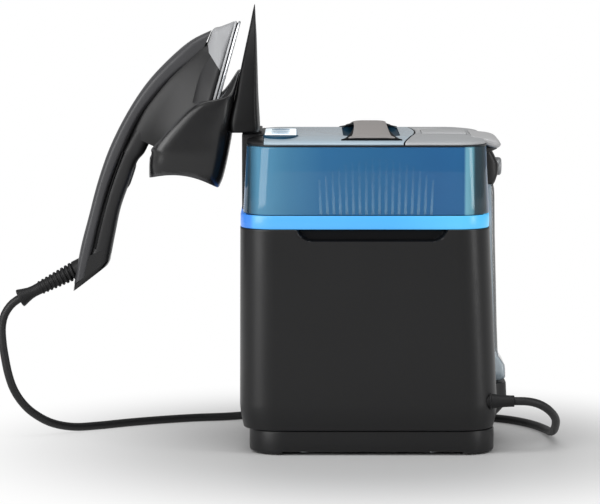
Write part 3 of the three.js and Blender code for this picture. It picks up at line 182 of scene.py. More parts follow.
def build_grain_group():
    """Fine moulded grain: a height for bump and a speckle mask."""
    group, start, end = new_group(
        "moulded_grain",
        [("Size", "NodeSocketFloat", 900.0), ("Contrast", "NodeSocketFloat", 1.0)],
        [("Height", "NodeSocketFloat"), ("Speckle", "NodeSocketFloat")],
    )
    coordinates = group.nodes.new("ShaderNodeTexCoord")
    noise = group.nodes.new("ShaderNodeTexNoise")
    noise.inputs["Detail"].default_value = 3
    noise.inputs["Roughness"].default_value = 0.6
    group.links.new(coordinates.outputs["Object"], noise.inputs["Vector"])
    group.links.new(start.outputs["Size"], noise.inputs["Scale"])
    centred = maths(group, "SUBTRACT", noise.outputs["Fac"], 0.5)
    scaled = maths(group, "MULTIPLY", centred, start.outputs["Contrast"])
    group.links.new(scaled, end.inputs["Height"])
    group.links.new(maths(group, "ADD", scaled, 0.5, clamp=True), end.inputs["Speckle"])
    return group


def build_drift_group():
    """Slow change of colour and gloss over a large moulded surface."""
    group, start, end = new_group(
        "surface_drift",
        [
            ("Color", "NodeSocketColor", (0.5, 0.5, 0.5, 1)),
            ("Shift", "NodeSocketFloat", 0.08),
            ("Size", "NodeSocketFloat", 14.0),
            ("Gloss Low", "NodeSocketFloat", 0.35),
            ("Gloss High", "NodeSocketFloat", 0.5),
        ],
        [("Color", "NodeSocketColor"), ("Roughness", "NodeSocketFloat")],
    )
    coordinates = group.nodes.new("ShaderNodeTexCoord")
    noise = group.nodes.new("ShaderNodeTexNoise")
    noise.inputs["Detail"].default_value = 4
    group.links.new(coordinates.outputs["Object"], noise.inputs["Vector"])
    group.links.new(start.outputs["Size"], noise.inputs["Scale"])
    centred = maths(group, "SUBTRACT", noise.outputs["Fac"], 0.5)
    strength = maths(group, "MULTIPLY", centred, start.outputs["Shift"])
    gain = maths(group, "ADD", maths(group, "MULTIPLY", strength, 2.0), 1.0)
    scale = group.nodes.new("ShaderNodeVectorMath")
    scale.operation = "SCALE"
    group.links.new(start.outputs["Color"], scale.inputs[0])
    group.links.new(gain, scale.inputs["Scale"])
    group.links.new(scale.outputs[0], end.inputs["Color"])
    ranged = group.nodes.new("ShaderNodeMapRange")
    ranged.inputs["From Min"].default_value = 0.3
    ranged.inputs["From Max"].default_value = 0.7
    group.links.new(noise.outputs["Fac"], ranged.inputs["Value"])
    group.links.new(start.outputs["Gloss Low"], ranged.inputs["To Min"])
    group.links.new(start.outputs["Gloss High"], ranged.inputs["To Max"])
    group.links.new(ranged.outputs[0], end.inputs["Roughness"])
    return group


def build_edge_highlight_group():
    """Mask of rounded-over edges, where a painted highlight makes a moulding a little brighter."""
    group, start, end = new_group(
        "edge_rub",
        [
            ("Color", "NodeSocketColor", (0.1, 0.1, 0.1, 1)),
            ("Rubbed Color", "NodeSocketColor", (0.2, 0.2, 0.2, 1)),
            ("Amount", "NodeSocketFloat", 0.5),
        ],
        [("Color", "NodeSocketColor"), ("Mask", "NodeSocketFloat")],
    )
    geometry = group.nodes.new("ShaderNodeNewGeometry")
    ranged = group.nodes.new("ShaderNodeMapRange")
    ranged.inputs["From Min"].default_value = 0.52
    ranged.inputs["From Max"].default_value = 0.62
    group.links.new(geometry.outputs["Pointiness"], ranged.inputs["Value"])
    mask = maths(group, "MULTIPLY", ranged.outputs[0], start.outputs["Amount"], clamp=True)
    mixed = blend_colour(group, mask, start.outputs["Color"], start.outputs["Rubbed Color"])
    group.links.new(mixed, end.inputs["Color"])
    group.links.new(mask, end.inputs["Mask"])
    return group


def build_along_group():
    """A share from 0 to 1 along one axis of the part, between two places."""
    group, start, end = new_group(
        "along_axis",
        [
            ("Axis", "NodeSocketVector", (1, 0, 0)),
            ("From", "NodeSocketFloat", 0.0),
            ("To", "NodeSocketFloat", 1.0),
        ],
        [("Share", "NodeSocketFloat")],
    )
    coordinates = group.nodes.new("ShaderNodeTexCoord")
    dot = group.nodes.new("ShaderNodeVectorMath")
    dot.operation = "DOT_PRODUCT"
    group.links.new(coordinates.outputs["Object"], dot.inputs[0])
    group.links.new(start.outputs["Axis"], dot.inputs[1])
    ranged = group.nodes.new("ShaderNodeMapRange")
    group.links.new(dot.outputs["Value"], ranged.inputs["Value"])
    group.links.new(start.outputs["From"], ranged.inputs["From Min"])
    group.links.new(start.outputs["To"], ranged.inputs["From Max"])
    group.links.new(ranged.outputs[0], end.inputs["Share"])
    return group


GRAIN = build_grain_group()
DRIFT = build_drift_group()
EDGE_HIGHLIGHT = build_edge_highlight_group()
ALONG = build_along_group()


def place_group(tree, group, **values):
    """Put a node group in a material and set its inputs; underscores stand for spaces."""
    node = tree.nodes.new("ShaderNodeGroup")
    node.node_tree = group
    for label, value in values.items():
        node.inputs[label.replace("_", " ")].default_value = value
    return node


def linear(hex_colour):
    """A #rrggbb colour as linear RGBA."""
    channels = []
    for start in (1, 3, 5):
        value = int(hex_colour[start:start + 2], 16) / 255
        channels.append(value / 12.92 if value <= 0.04045 else ((value + 0.055) / 1.055) ** 2.4)
    return (*channels, 1.0)


def new_material(name):
    """A material, with its node tree and its shader."""
    material = bpy.data.materials.new(name)
    material.use_nodes = True
    tree = material.node_tree
    return material, tree, tree.nodes["Principled BSDF"]


def add_drift(tree, shader, colour, shift, size, gloss):
    """Feed a colour through the slow drift into the shader's colour and roughness."""
    drift = place_group(tree, DRIFT, Shift=shift, Size=size, Gloss_Low=gloss[0], Gloss_High=gloss[1])
    tree.links.new(colour, drift.inputs["Color"])
    tree.links.new(drift.outputs["Color"], shader.inputs["Base Color"])
    tree.links.new(drift.outputs["Roughness"], shader.inputs["Roughness"])


def add_bump(tree, shader, height, distance):
    """Feed a height into the shader's normal."""
    bump = tree.nodes.new("ShaderNodeBump")
    bump.inputs["Distance"].default_value = distance
    tree.links.new(height, bump.inputs["Height"])
    tree.links.new(bump.outputs["Normal"], shader.inputs["Normal"])


def normal_x(tree):
    """The X share of the surface's normal."""
    geometry = tree.nodes.new("ShaderNodeNewGeometry")
    split = tree.nodes.new("ShaderNodeSeparateXYZ")
    tree.links.new(geometry.outputs["Normal"], split.inputs[0])
    return split.outputs["X"]


def moulding(name, colour, gloss, shift=0.08, grain_size=1400, grain_depth=0.00004, highlight_colour=None, highlight_amount=0.0,
             metal=0.0, coat=0.0, level=0.5):
    """A moulded or cast finish: drifting colour and gloss, fine grain, a painted highlight on rounded edges.
    """
    material, tree, shader = new_material(name)
    shader.inputs["Metallic"].default_value = metal
    shader.inputs["Coat Weight"].default_value = coat
    shader.inputs["Coat Roughness"].default_value = 0.1
    shader.inputs["Specular IOR Level"].default_value = level
    edge = place_group(tree, EDGE_HIGHLIGHT, Color=linear(colour), Rubbed_Color=linear(highlight_colour or colour), Amount=highlight_amount)
    grain = place_group(tree, GRAIN, Size=grain_size, Contrast=1.0)
    add_bump(tree, shader, grain.outputs["Height"], grain_depth)
    add_drift(tree, shader, edge.outputs["Color"], shift, 14, gloss)
    return material


# ---------------------------------------------------------------- finishes
# The lighter edge colours given below paint a highlight on rounded edges, standing in for light caught there.
casing_plastic = moulding("casing_plastic", "#0f0f10", (0.34, 0.4), highlight_colour="#333335", highlight_amount=0.25, level=0.33)
recess_plastic = moulding("recess_plastic", "#0b0b0c", (0.5, 0.6), level=0.1)
rest_plastic = moulding("rest_plastic", "#0c0c0d", (0.34, 0.42), highlight_colour="#444446", highlight_amount=0.6, level=0.2)
spine_plastic = moulding("spine_plastic", "#38383a", (0.36, 0.44), highlight_colour="#4c4c4e", highlight_amount=0.3, level=0.4)
head_plastic = moulding("head_plastic", "#141415", (0.34, 0.42), highlight_colour="#3c3c3e", highlight_amount=0.3, level=0.3)
cheek_plastic = moulding("cheek_plastic", "#272728", (0.34, 0.42), highlight_colour="#444446", highlight_amount=0.3, level=0.35)
grip_rubber = moulding("grip_rubber", "#1a1a1b", (0.4, 0.5), grain_size=2600, grain_depth=0.00006, level=0.35)
cap_gloss = moulding("cap_gloss", "#101011", (0.12, 0.2), coat=0.2, level=0.3)
holster_plastic = moulding("holster_plastic", "#121213", (0.2, 0.27), highlight_colour="#4a4a4c", highlight_amount=0.5, level=0.42)
trigger_plastic = moulding("trigger_plastic", "#101011", (0.4, 0.5), level=0.3)
boot_rubber = moulding("boot_rubber", "#0f0f10", (0.5, 0.6), grain_size=2200, grain_depth=0.0001, level=0.3)
hose_sleeve = moulding("hose_sleeve", "#131314", (0.4, 0.52), grain_size=3200, grain_depth=0.00012,
                       level=0.35)
foot_rubber = moulding("foot_rubber", "#0c0c0d", (0.7, 0.8), grain_size=2200, grain_depth=0.0001, level=0.2)
seam_rubber = moulding("seam_rubber", "#10181e", (0.3, 0.4), level=0.3)
deck_gloss = moulding("deck_gloss", "#99a9b4", (0.14, 0.2), shift=0.05, level=0.32)
dish_gloss = moulding("dish_gloss", "#1b3a4d", (0.4, 0.5), level=0.06)
shade_gloss = moulding("shade_gloss", "#1d4258", (0.35, 0.45), level=0.08)
lid_silver = moulding("lid_silver", "#96989a", (0.3, 0.38), highlight_colour="#c8c8c8", highlight_amount=0.5, level=0.35)
grip_silver = moulding("grip_silver", "#a9a9aa", (0.3, 0.38), highlight_colour="#d0d0d0", highlight_amount=0.5, level=0.35)
knob_silver = moulding("knob_silver", "#8f9193", (0.3, 0.38), metal=0.3)
nose_silver = moulding("nose_silver", "#929395", (0.34, 0.42), level=0.3)
skirt_bright = moulding("skirt_bright", "#a4a5a7", (0.3, 0.38), metal=0.3)
strap_skin = moulding("strap_skin", "#8a8684", (0.6, 0.72), grain_size=2000, grain_depth=0.00014, level=0.25)
strap_lining = moulding("strap_lining", "#0e1012", (0.6, 0.7), grain_size=2000, grain_depth=0.0001, level=0.1)
latch_black = moulding("latch_black", "#111112", (0.3, 0.4), highlight_colour="#3a3a3c", highlight_amount=0.5, level=0.3)
button_plastic = moulding("button_plastic", "#587891", (0.5, 0.6), level=0.1)
parting_black = moulding("parting_black", "#060607", (0.6, 0.7), level=0.05)
groove_black = moulding("groove_black", "#0e0e0f", (0.5, 0.6), level=0.2)
inner_black = moulding("inner_black", "#101012", (0.6, 0.7), level=0.2)
cast_aluminium = moulding("cast_aluminium", "#a8abae", (0.45, 0.6), metal=1.0, grain_size=700,
                          grain_depth=0.0002)
steel_plain = moulding("steel_plain", "#c9ccd0", (0.25, 0.35), metal=1.0)
brass_plain = moulding("brass_plain", "#b49a55", (0.3, 0.42), metal=1.0)
board_green = moulding("board_green", "#1f5a3a", (0.4, 0.5))
silicone_tube = moulding("silicone_tube", "#d0d0ca", (0.4, 0.5))


def build_brushed_sole():
    """Polished sole steel with fine lines along the plate."""
    material = moulding("brushed_sole", "#cfd2d6", (0.16, 0.24), metal=1.0)
    tree = material.node_tree
    coordinates = tree.nodes.new("ShaderNodeTexCoord")
    stretch = tree.nodes.new("ShaderNodeMapping")
    stretch.inputs["Scale"].default_value = (1200, 2600, 40)
    lines = tree.nodes.new("ShaderNodeTexNoise")
    lines.inputs["Scale"].default_value = 1
    tree.links.new(coordinates.outputs["Object"], stretch.inputs["Vector"])
    tree.links.new(stretch.outputs["Vector"], lines.inputs["Vector"])
    bump = next(node for node in tree.nodes if node.type == "BUMP")
    tree.links.new(lines.outputs["Fac"], bump.inputs["Height"])
    return material


def ramp_along_x(tree, stops):
    """A colour ramp along the base's length; stops are (millimetres, colour)."""
    low = stops[0][0]
    high = stops[-1][0]
    along = place_group(tree, ALONG, Axis=(1, 0, 0), From=BASE_X + low * MM, To=BASE_X + high * MM)
    ramp = tree.nodes.new("ShaderNodeValToRGB")
    elements = ramp.color_ramp.elements
    while len(elements) < len(stops):
        elements.new(0.5)
    for element, (where, colour) in zip(elements, stops):
        element.position = (where - low) / (high - low)
        element.color = linear(colour)
    tree.links.new(along.outputs["Share"], ramp.inputs["Fac"])
    return ramp.outputs["Color"]


def build_band_glow():
    """The lit ring: deeper blue at the -X corner, paler towards +X."""
    material, tree, shader = new_material("band_glow")
    stops = [(-114, "#3d84e6"), (-105, "#3f8bea"), (-102, "#56b1f6"), (20, "#4fb2f8"), (80, "#5cc4fd"),
             (107, "#52c6ff")]
    colour = ramp_along_x(tree, stops)
    grain = place_group(tree, GRAIN, Size=260, Contrast=0.12)
    drift = blend_colour(tree, 0.12, colour, grain.outputs["Speckle"], "SOFT_LIGHT")
    dimmed = blend_colour(tree, 0.6, drift, (0, 0, 0, 1))
    tree.links.new(dimmed, shader.inputs["Base Color"])
    tree.links.new(drift, shader.inputs["Emission Color"])
    shader.inputs["Emission Strength"].default_value = 0.62
    add_bump(tree, shader, grain.outputs["Height"], 0.00003)
    shader.inputs["Roughness"].default_value = 0.3
    return material


def build_tank_plastic():
    """Tinted see-through tank, mid blue, with light painted across its front: a painted highlight near the -X
    corner, a pale painted highlight stripe on the +X corner, and painted shade, slate, where the corners turn
    away.
    """
    material, tree, shader = new_material("tank_plastic")
    # These stops paint light across the front: a highlight near -X, a pale highlight stripe from 85 to 91 mm,
    # shade where the corners turn away.
    stops = [(-114, "#40535e"), (-106, "#2b3d48"), (-103, "#356580"), (-98, "#548ba9"), (-70, "#3f769a"),
             (-40, "#2c6490"), (0, "#27608c"), (60, "#245c8d"), (83, "#255f90"), (85, "#74afc5"),
             (91, "#66a0b2"), (93, "#2f4752"), (107, "#222e35")]
    front = ramp_along_x(tree, stops)
    facing_end = maths(tree, "ABSOLUTE", normal_x(tree), 0.0)
    end_share = maths(tree, "MULTIPLY", maths(tree, "SUBTRACT", facing_end, 0.9), 10.0, clamp=True)
    colour = blend_colour(tree, end_share, front, linear("#2c6490"))
    add_drift(tree, shader, colour, 0.05, 9, (0.05, 0.1))
    shader.inputs["Alpha"].default_value = 0.84
    shader.inputs["Specular IOR Level"].default_value = 0.35
    return material


def build_flute_light():
    """Moulded flutes in the tank's front, with painted light from the lit ring below: lighter at the foot,
    fading into the tank above.
    """
    material, tree, shader = new_material("flute_light")
    along = place_group(tree, ALONG, Axis=(0, 0, 1), From=0.216, To=0.262)
    colour = blend_colour(tree, along.outputs["Share"], linear("#7fb2d2"), linear("#4d8ab6"))
    tree.links.new(colour, shader.inputs["Base Color"])
    fade = maths(tree, "SUBTRACT", 0.34, maths(tree, "MULTIPLY", along.outputs["Share"], 0.3), clamp=True)
    tree.links.new(fade, shader.inputs["Alpha"])
    grain = place_group(tree, GRAIN, Size=400, Contrast=0.3)
    rough = maths(tree, "ADD", maths(tree, "MULTIPLY", grain.outputs["Height"], 0.2), 0.16)
    tree.links.new(rough, shader.inputs["Roughness"])
    return material


def build_clear_plastic():
    """Clear leg of the tank: pale and see-through, with painted shade where it is seen on edge and on its +X
    faces above the foot.
    """
    material, tree, shader = new_material("clear_plastic")
    weight = tree.nodes.new("ShaderNodeLayerWeight")
    weight.inputs["Blend"].default_value = 0.45
    colour = blend_colour(tree, weight.outputs["Facing"], linear("#aebfca"), linear("#1b272e"))
    height = place_group(tree, ALONG, Axis=(0, 0, 1), From=0.078, To=0.09)
    # Painted shade on the faces turned towards +X, above the leg's foot.
    turned_away = maths(tree, "MULTIPLY", maths(tree, "SUBTRACT", normal_x(tree), 0.2), 4.0, clamp=True)
    rim = maths(tree, "MULTIPLY", turned_away, height.outputs["Share"])
    colour = blend_colour(tree, rim, colour, linear("#141c20"))
    add_drift(tree, shader, colour, 0.04, 20, (0.04, 0.09))
    shader.inputs["Alpha"].default_value = 0.72
    shader.inputs["Coat Weight"].default_value = 0.4
    return material


def build_panel_lit():
    """White panel with a painted glow and a fine speckle between two pale blue-whites."""
    material, tree, shader = new_material("panel_lit")
    grain = place_group(tree, GRAIN, Size=120, Contrast=0.6)
    colour = blend_colour(tree, grain.outputs["Speckle"], linear("#dff1fb"), linear("#f4fbff"))
    tree.links.new(colour, shader.inputs["Base Color"])
    tree.links.new(colour, shader.inputs["Emission Color"])
    shader.inputs["Emission Strength"].default_value = 0.5
    shader.inputs["Roughness"].default_value = 0.25
    return material


brushed_sole = build_brushed_sole()
band_glow = build_band_glow()
tank_plastic = build_tank_plastic()
flute_light = build_flute_light()
clear_plastic = build_clear_plastic()
panel_lit = build_panel_lit()


# ---------------------------------------------------------------- mesh helpers
def shade(mesh, crease):
    """Shade a mesh smooth, except where faces meet above an angle in degrees."""
    mesh.polygons.foreach_set("use_smooth", [True] * len(mesh.polygons))
    mesh.set_sharp_from_angle(angle=math.radians(crease))


def piece_from(name, points, faces, material, crease=32):
    """An object from points in metres, smooth except where faces meet above an angle."""
    mesh = bpy.data.meshes.new(name)
    mesh.from_pydata([tuple(point) for point in points], [], faces)
    mesh.validate()
    tidy = bmesh.new()
    tidy.from_mesh(mesh)
    bmesh.ops.remove_doubles(tidy, verts=tidy.verts, dist=1e-6)
    bmesh.ops.recalc_face_normals(tidy, faces=tidy.faces)
    tidy.to_mesh(mesh)
    tidy.free()
    mesh.materials.append(material)
    shade(mesh, crease)
    return link_object(name, mesh)


def loft(name, rings, material, closed=True, crease=32):
    """Skin a row of rings with the same count of points; closed adds both end faces."""
    count = len(rings[0])
    points = [point for ring in rings for point in ring]
    faces = []
    for level in range(len(rings) - 1):
        low = level * count
        high = low + count
        for i in range(count):
            j = (i + 1) % count
            faces.append((low + i, low + j, high + j, high + i))
    if closed:
        faces.append(tuple(range(count)))
        faces.append(tuple((len(rings) - 1) * count + i for i in range(count)))
    return piece_from(name, points, faces, material, crease)


def apply_modifiers(item):
    """Turn an object's modifiers into its plain mesh."""
    evaluated = item.evaluated_get(bpy.context.evaluated_depsgraph_get())
    mesh = bpy.data.meshes.new_from_object(evaluated)
    old = item.data
    item.modifiers.clear()
    item.data = mesh
    bpy.data.meshes.remove(old)
    return item


def thicken(item, thickness):
    """Give an open wall a thickness inwards, in millimetres."""
    wall = item.modifiers.new("wall", "SOLIDIFY")
    wall.thickness = thickness * MM
    wall.offset = -1
    return apply_modifiers(item)


def soften(item, width, segments=3, angle=32, crease=None):
    """Round an object's sharp edges by a width in millimetres."""
    bevel = item.modifiers.new("rounding", "BEVEL")
    bevel.width = width * MM
    bevel.segments = segments
    bevel.limit_method = "ANGLE"
    bevel.angle_limit = math.radians(angle)
    bevel.harden_normals = False
    apply_modifiers(item)
    shade(item.data, crease or angle)
    return item


def cut(item, cutter, operation="DIFFERENCE", crease=32):
    """Join an object with another, or cut it, and drop the other."""
    join = item.modifiers.new("cut", "BOOLEAN")
    join.operation = operation
    join.solver = "EXACT"
    join.object = cutter
    apply_modifiers(item)
    bpy.data.objects.remove(cutter)
    shade(item.data, crease)
    return item


def block(name, x0, x1, y0, y1, z0, z1, material, to_metres=place):
    """A block between two corners in millimetres, in the base's or the handset's frame."""
    rings = []
    for z in (z0, z1):
        rings.append([to_metres(x, y, z) for x, y in ((x0, y0), (x1, y0), (x1, y1), (x0, y1))])
    return loft(name, rings, material)


def turned(name, profile, start, way, material, sides=48, crease=32):
    """A turned piece: (radius, height) pairs in millimetres round an axis, ends closed."""
    way = Vector(way).normalized()
    side = way.orthogonal().normalized()
    other = way.cross(side)
    rings = []
    for radius, height in profile:
        ring = []
        for i in range(sides):
            angle = 2 * math.pi * i / sides
            arm = side * math.cos(angle) + other * math.sin(angle)
            ring.append(start + way * (height * MM) + arm * (max(radius, 0.01) * MM))
        rings.append(ring)
    return loft(name, rings, material, crease=crease)


def smooth_track(values, steps):
    """Points on a smooth curve through rows of numbers, with steps between each two rows."""
    rows = [list(values[0])] + [list(row) for row in values] + [list(values[-1])]
    track = []
    for k in range(1, len(rows) - 2):
        for step in range(steps):
            t = step / steps
            row = []
            for a, b, c, d in zip(rows[k - 1], rows[k], rows[k + 1], rows[k + 2]):
                row.append(0.5 * (2 * b + (c - a) * t + (2 * a - 5 * b + 4 * c - d) * t * t
                                  + (3 * b - a - 3 * c + d) * t ** 3))
            track.append(row)
    track.append(list(values[-1]))
    return track


def rounded_outline(half_length, half_depth, radius, arc=12, fill=8):
    """Outline of a rounded rectangle, with points along its straight sides too."""
    outline = []
    corners = ((1, 1), (-1, 1), (-1, -1), (1, -1))
    for quarter, (sx, sy) in enumerate(corners):
        for i in range(arc + 1):
            angle = (quarter + i / arc) * math.pi / 2
            x = sx * (half_length - radius) + radius * math.cos(angle)
            y = sy * (half_depth - radius) + radius * math.sin(angle)
            outline.append((x, y))
        ax, ay = outline[-1]
        nx, ny = corners[(quarter + 1) % 4]
        next_angle = (quarter + 1) * math.pi / 2
        bx = nx * (half_length - radius) + radius * math.cos(next_angle)
        by = ny * (half_depth - radius) + radius * math.sin(next_angle)
        for i in range(1, fill):
            outline.append((ax + (bx - ax) * i / fill, ay + (by - ay) * i / fill))
    return outline


def section_ring(outer_x, outer_z, inner_x, inner_z, wide, wide_inner, power, hollow=0.0, steps=56):
    """Ring between an outer and an inner point of a side view; hollow dishes its flanks."""
    ring = []
    for i in range(steps):
        angle = (i + 0.5) / steps * 2 * math.pi
        across = math.sin(angle)
        along = math.cos(angle)
        bend = 2 / power
        share = (1 + math.copysign(abs(along) ** bend, along)) / 2
        half = wide_inner + (wide - wide_inner) * share
        half *= 1 - hollow * 4 * share * (1 - share)
        x = inner_x + (outer_x - inner_x) * share
        z = inner_z + (outer_z - inner_z) * share
        ring.append((x, half * math.copysign(abs(across) ** bend, across), z))
    return ring


def skin(name, sections, material, to_metres=hand, steps=6, crease=40):
    """A body through sections (outer x, outer z, inner x, inner z, wide, wide inner, power, hollow)."""
    track = smooth_track(sections, steps) if steps > 1 else sections
    rings = [[to_metres(*point) for point in section_ring(*row)] for row in track]
    return loft(name, rings, material, crease=crease)


def smooth_step(value, low, high):
    """0 below low, 1 above high, and a smooth rise between."""
    share = min(1.0, max(0.0, (value - low) / (high - low)))
    return share * share * (3 - 2 * share)


# ---------------------------------------------------------------- geometry node helpers
def new_tree(name, inputs):
    """A geometry node tree with named number inputs and one geometry output."""
    tree = bpy.data.node_groups.new(name, "GeometryNodeTree")
    for label, kind, value in inputs:
        socket = tree.interface.new_socket(label, in_out="INPUT", socket_type=kind)
        socket.default_value = value
    tree.interface.new_socket("Geometry", in_out="OUTPUT", socket_type="NodeSocketGeometry")
    return tree, tree.nodes.new("NodeGroupInput"), tree.nodes.new("NodeGroupOutput")


def point_row(tree, start, pitch, axis):
    """Points in a row along an axis; their count and pitch are inputs of the tree."""
    offset = tree.nodes.new("ShaderNodeCombineXYZ")
    tree.links.new(start.outputs[pitch], offset.inputs[axis])
    line = tree.nodes.new("GeometryNodeMeshLine")
    tree.links.new(start.outputs["Count"], line.inputs["Count"])
    tree.links.new(offset.outputs[0], line.inputs["Offset"])
    return line.outputs["Mesh"]


def spread_on(tree, points, instance):
    """A node that puts an instance on every point."""
    spread = tree.nodes.new("GeometryNodeInstanceOnPoints")
    tree.links.new(points, spread.inputs["Points"])
    tree.links.new(instance, spread.inputs["Instance"])
    return spread


def finish_tree(tree, end, instances, material):
    """End a tree in real geometry with one material."""
    real = tree.nodes.new("GeometryNodeRealizeInstances")
    paint = tree.nodes.new("GeometryNodeSetMaterial")
    paint.inputs["Material"].default_value = material
    tree.links.new(instances, real.inputs[0])
    tree.links.new(real.outputs[0], paint.inputs["Geometry"])
    tree.links.new(paint.outputs[0], end.inputs["Geometry"])


def run_tree(name, tree, move=None, **values):
    """Run a tree and return its result as a plain mesh object at the origin."""
    item = link_object(name, bpy.data.meshes.new(name))
    modifier = item.modifiers.new("build", "NODES")
    modifier.node_group = tree
    for socket in tree.interface.items_tree:
        label = socket.name.replace(" ", "_")
        if socket.in_out == "INPUT" and label in values:
            modifier[socket.identifier] = values[label]
    apply_modifiers(item)
    if move is not None:
        item.data.transform(move)
    item.data.polygons.foreach_set("use_smooth", [True] * len(item.data.polygons))
    return item


# ---------------------------------------------------------------- hose
HOSE_DIAMETER = 7.5
COIL_CENTRE = (0, 156)
COIL_RADIUS = 42
COIL_TURNS = 3
COIL_LOW = 4
COIL_HIGH = 26.25


def boot_way():
    """The direction in which the hose boot leaves the handle."""
    return (hand(-math.cos(CUFF_ANGLE), 0, -math.sin(CUFF_ANGLE)) - hand(0, 0, 0)).normalized()


def hose_points():
    """The hose's line from the gland, round the back in a coil, and up to the handset."""
    points = [
        (129.3, *GLAND_SEAT[1:]), (131, *GLAND_SEAT[1:]), (140.8, -74.7, 46.8), (150, -70.9, 44.3),
        (157.9, -64.9, 39.6), (163.9, -57, 33.6), (167.7, -47.8, 27.4), (169, -38, 21.6),
        (169.3, -22, 14.5), (169, -4, 8.8), (168, 14, 5.2), (165, 34, 4.05), (158, 55, 4),
        (148, 74, 4), (133, 91.5, 4), (112, 104, 4), (85, 111, 4), (56, 114, 4), (26, 114, 4),
    ]
    per_turn = 24
    for i in range(per_turn * COIL_TURNS + 1):
        angle = -math.pi / 2 - 2 * math.pi * i / per_turn
        x = COIL_CENTRE[0] + COIL_RADIUS * math.cos(angle)
        y = COIL_CENTRE[1] + COIL_RADIUS * math.sin(angle)
        z = COIL_LOW + (COIL_HIGH - COIL_LOW) * i / (per_turn * COIL_TURNS)
        points.append((x, y, z))
    points += [
        (-26, 114, 26.25), (-50, 114, 22.5), (-78, 114, 13), (-104, 113, 6), (-128, 110, 4),
        (-160, 102, 4), (-192, 89, 4), (-222, 73, 4), (-248, 56, 4), (-270, 40, 5.4),
        (-289, 25, 11.5), (-304, 13, 22), (-314, 6, 33), (-321.5, 2, 46), (-326, 0, 60),
        (-329, 0, 75), (-331, 0, 89), (-331.6, 0, 103), (-329.2, 0, 114.3), (-323.3, 0, 123.5),
    ]
    line = [place(*point) for point in points]
    way = boot_way() * MM
    cuff = hand(*BOOT_SEAT) + way * BOOT_LENGTH
    line += [cuff + way * 1.5, cuff - way * 3]
    return line


def smooth_line(points, spacing):
    """Points about a spacing apart on a smooth curve through given points."""
    dense = smooth_track([tuple(point) for point in points], 12)
    dense = [Vector(row) for row in dense]
    line = [dense[0]]
    for point in dense[1:]:
        if (point - line[-1]).length >= spacing:
            line.append(point)
    if (dense[-1] - line[-1]).length > spacing / 3:
        line.append(dense[-1])
    else:
        line[-1] = dense[-1]
    return line


def tube(name, line, radius, material, sides=14):
    """A round tube along a line in metres."""
    rings = []
    way = (line[1] - line[0]).normalized()
    side = way.orthogonal().normalized()
    for k, point in enumerate(line):
        ahead = line[min(k + 1, len(line) - 1)] - line[max(k - 1, 0)]
        ahead.normalize()
        side = (side - ahead * side.dot(ahead)).normalized()
        other = ahead.cross(side)
        ring = []
        for i in range(sides):
            angle = 2 * math.pi * i / sides
            ring.append(point + (side * math.cos(angle) + other * math.sin(angle)) * (radius * MM))
        rings.append(ring)
    return loft(name, rings, material)


def build_hose():
    """One steam hose, modelled at its real length."""
    line = smooth_line(hose_points(), 0.004)
    hose = tube("steam_hose", line, HOSE_DIAMETER / 2, hose_sleeve)
    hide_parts("hose_lower", "hose_coil", "hose_upper")
    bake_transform(hose)


build_hose()


def settle(item, body, slot_name, *nodes):
    """A finished piece rides on a body and stands for CAD nodes; its slot name is not used."""
    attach(item, body)
    if nodes:
        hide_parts(*nodes)


# ---------------------------------------------------------------- base casing
def casing_size(height):
    """Half length and half depth of the casing's outside at a height."""
    share = max(0, (height - TUCK_TOP) / (BAND_BOTTOM - TUCK_TOP))
    tuck = max(0, (TUCK_TOP - height) / (TUCK_TOP - PLINTH_TOP))
    half_length = HALF_LENGTH + (TOP_HALF_LENGTH - HALF_LENGTH) * share - 3.5 * tuck ** 1.6
    half_depth = HALF_DEPTH + (TOP_HALF_DEPTH - HALF_DEPTH) * share - 2 * tuck ** 1.6
    return half_length, half_depth


def corner_distance(a, b, radius):
    """Distance inside a corner whose two edges are a and b away, rounded by a radius."""
    if a < radius and b < radius:
        return radius - math.hypot(radius - a, radius - b)
    return min(a, b)


def scoop_push(x, z):
    """How far the hand scoop under the light band pushes the front face in."""
    half = 62 + 0.42 * (z - SCOOP_BOTTOM)
    inside = corner_distance(half - abs(x - SCOOP_MIDDLE), z - SCOOP_BOTTOM, 9)
    return SCOOP_DEPTH * smooth_step(inside, 0, 1.5)


def leg_push(y, z):
    """How far the channel of the water leg pushes the +X face in."""
    inside = corner_distance(LIMB_HALF_WIDTH + 0.5 - abs(y), z - LIMB_BOTTOM + 0.6, 5)
    return (LIMB_THICKNESS - LIMB_OUTSTAND + 0.3) * smooth_step(inside, -0.2, 0.9)


def leg_shelf(y, z):
    """How far the black shelf below the water leg stands out of the +X face."""
    if z > LIMB_BOTTOM - 0.4:
        return 0
    rise = smooth_step(z, 21, 40)
    return (LIMB_OUTSTAND + 6) * rise * smooth_step(LIMB_HALF_WIDTH + 14 - abs(y), 0, 16)


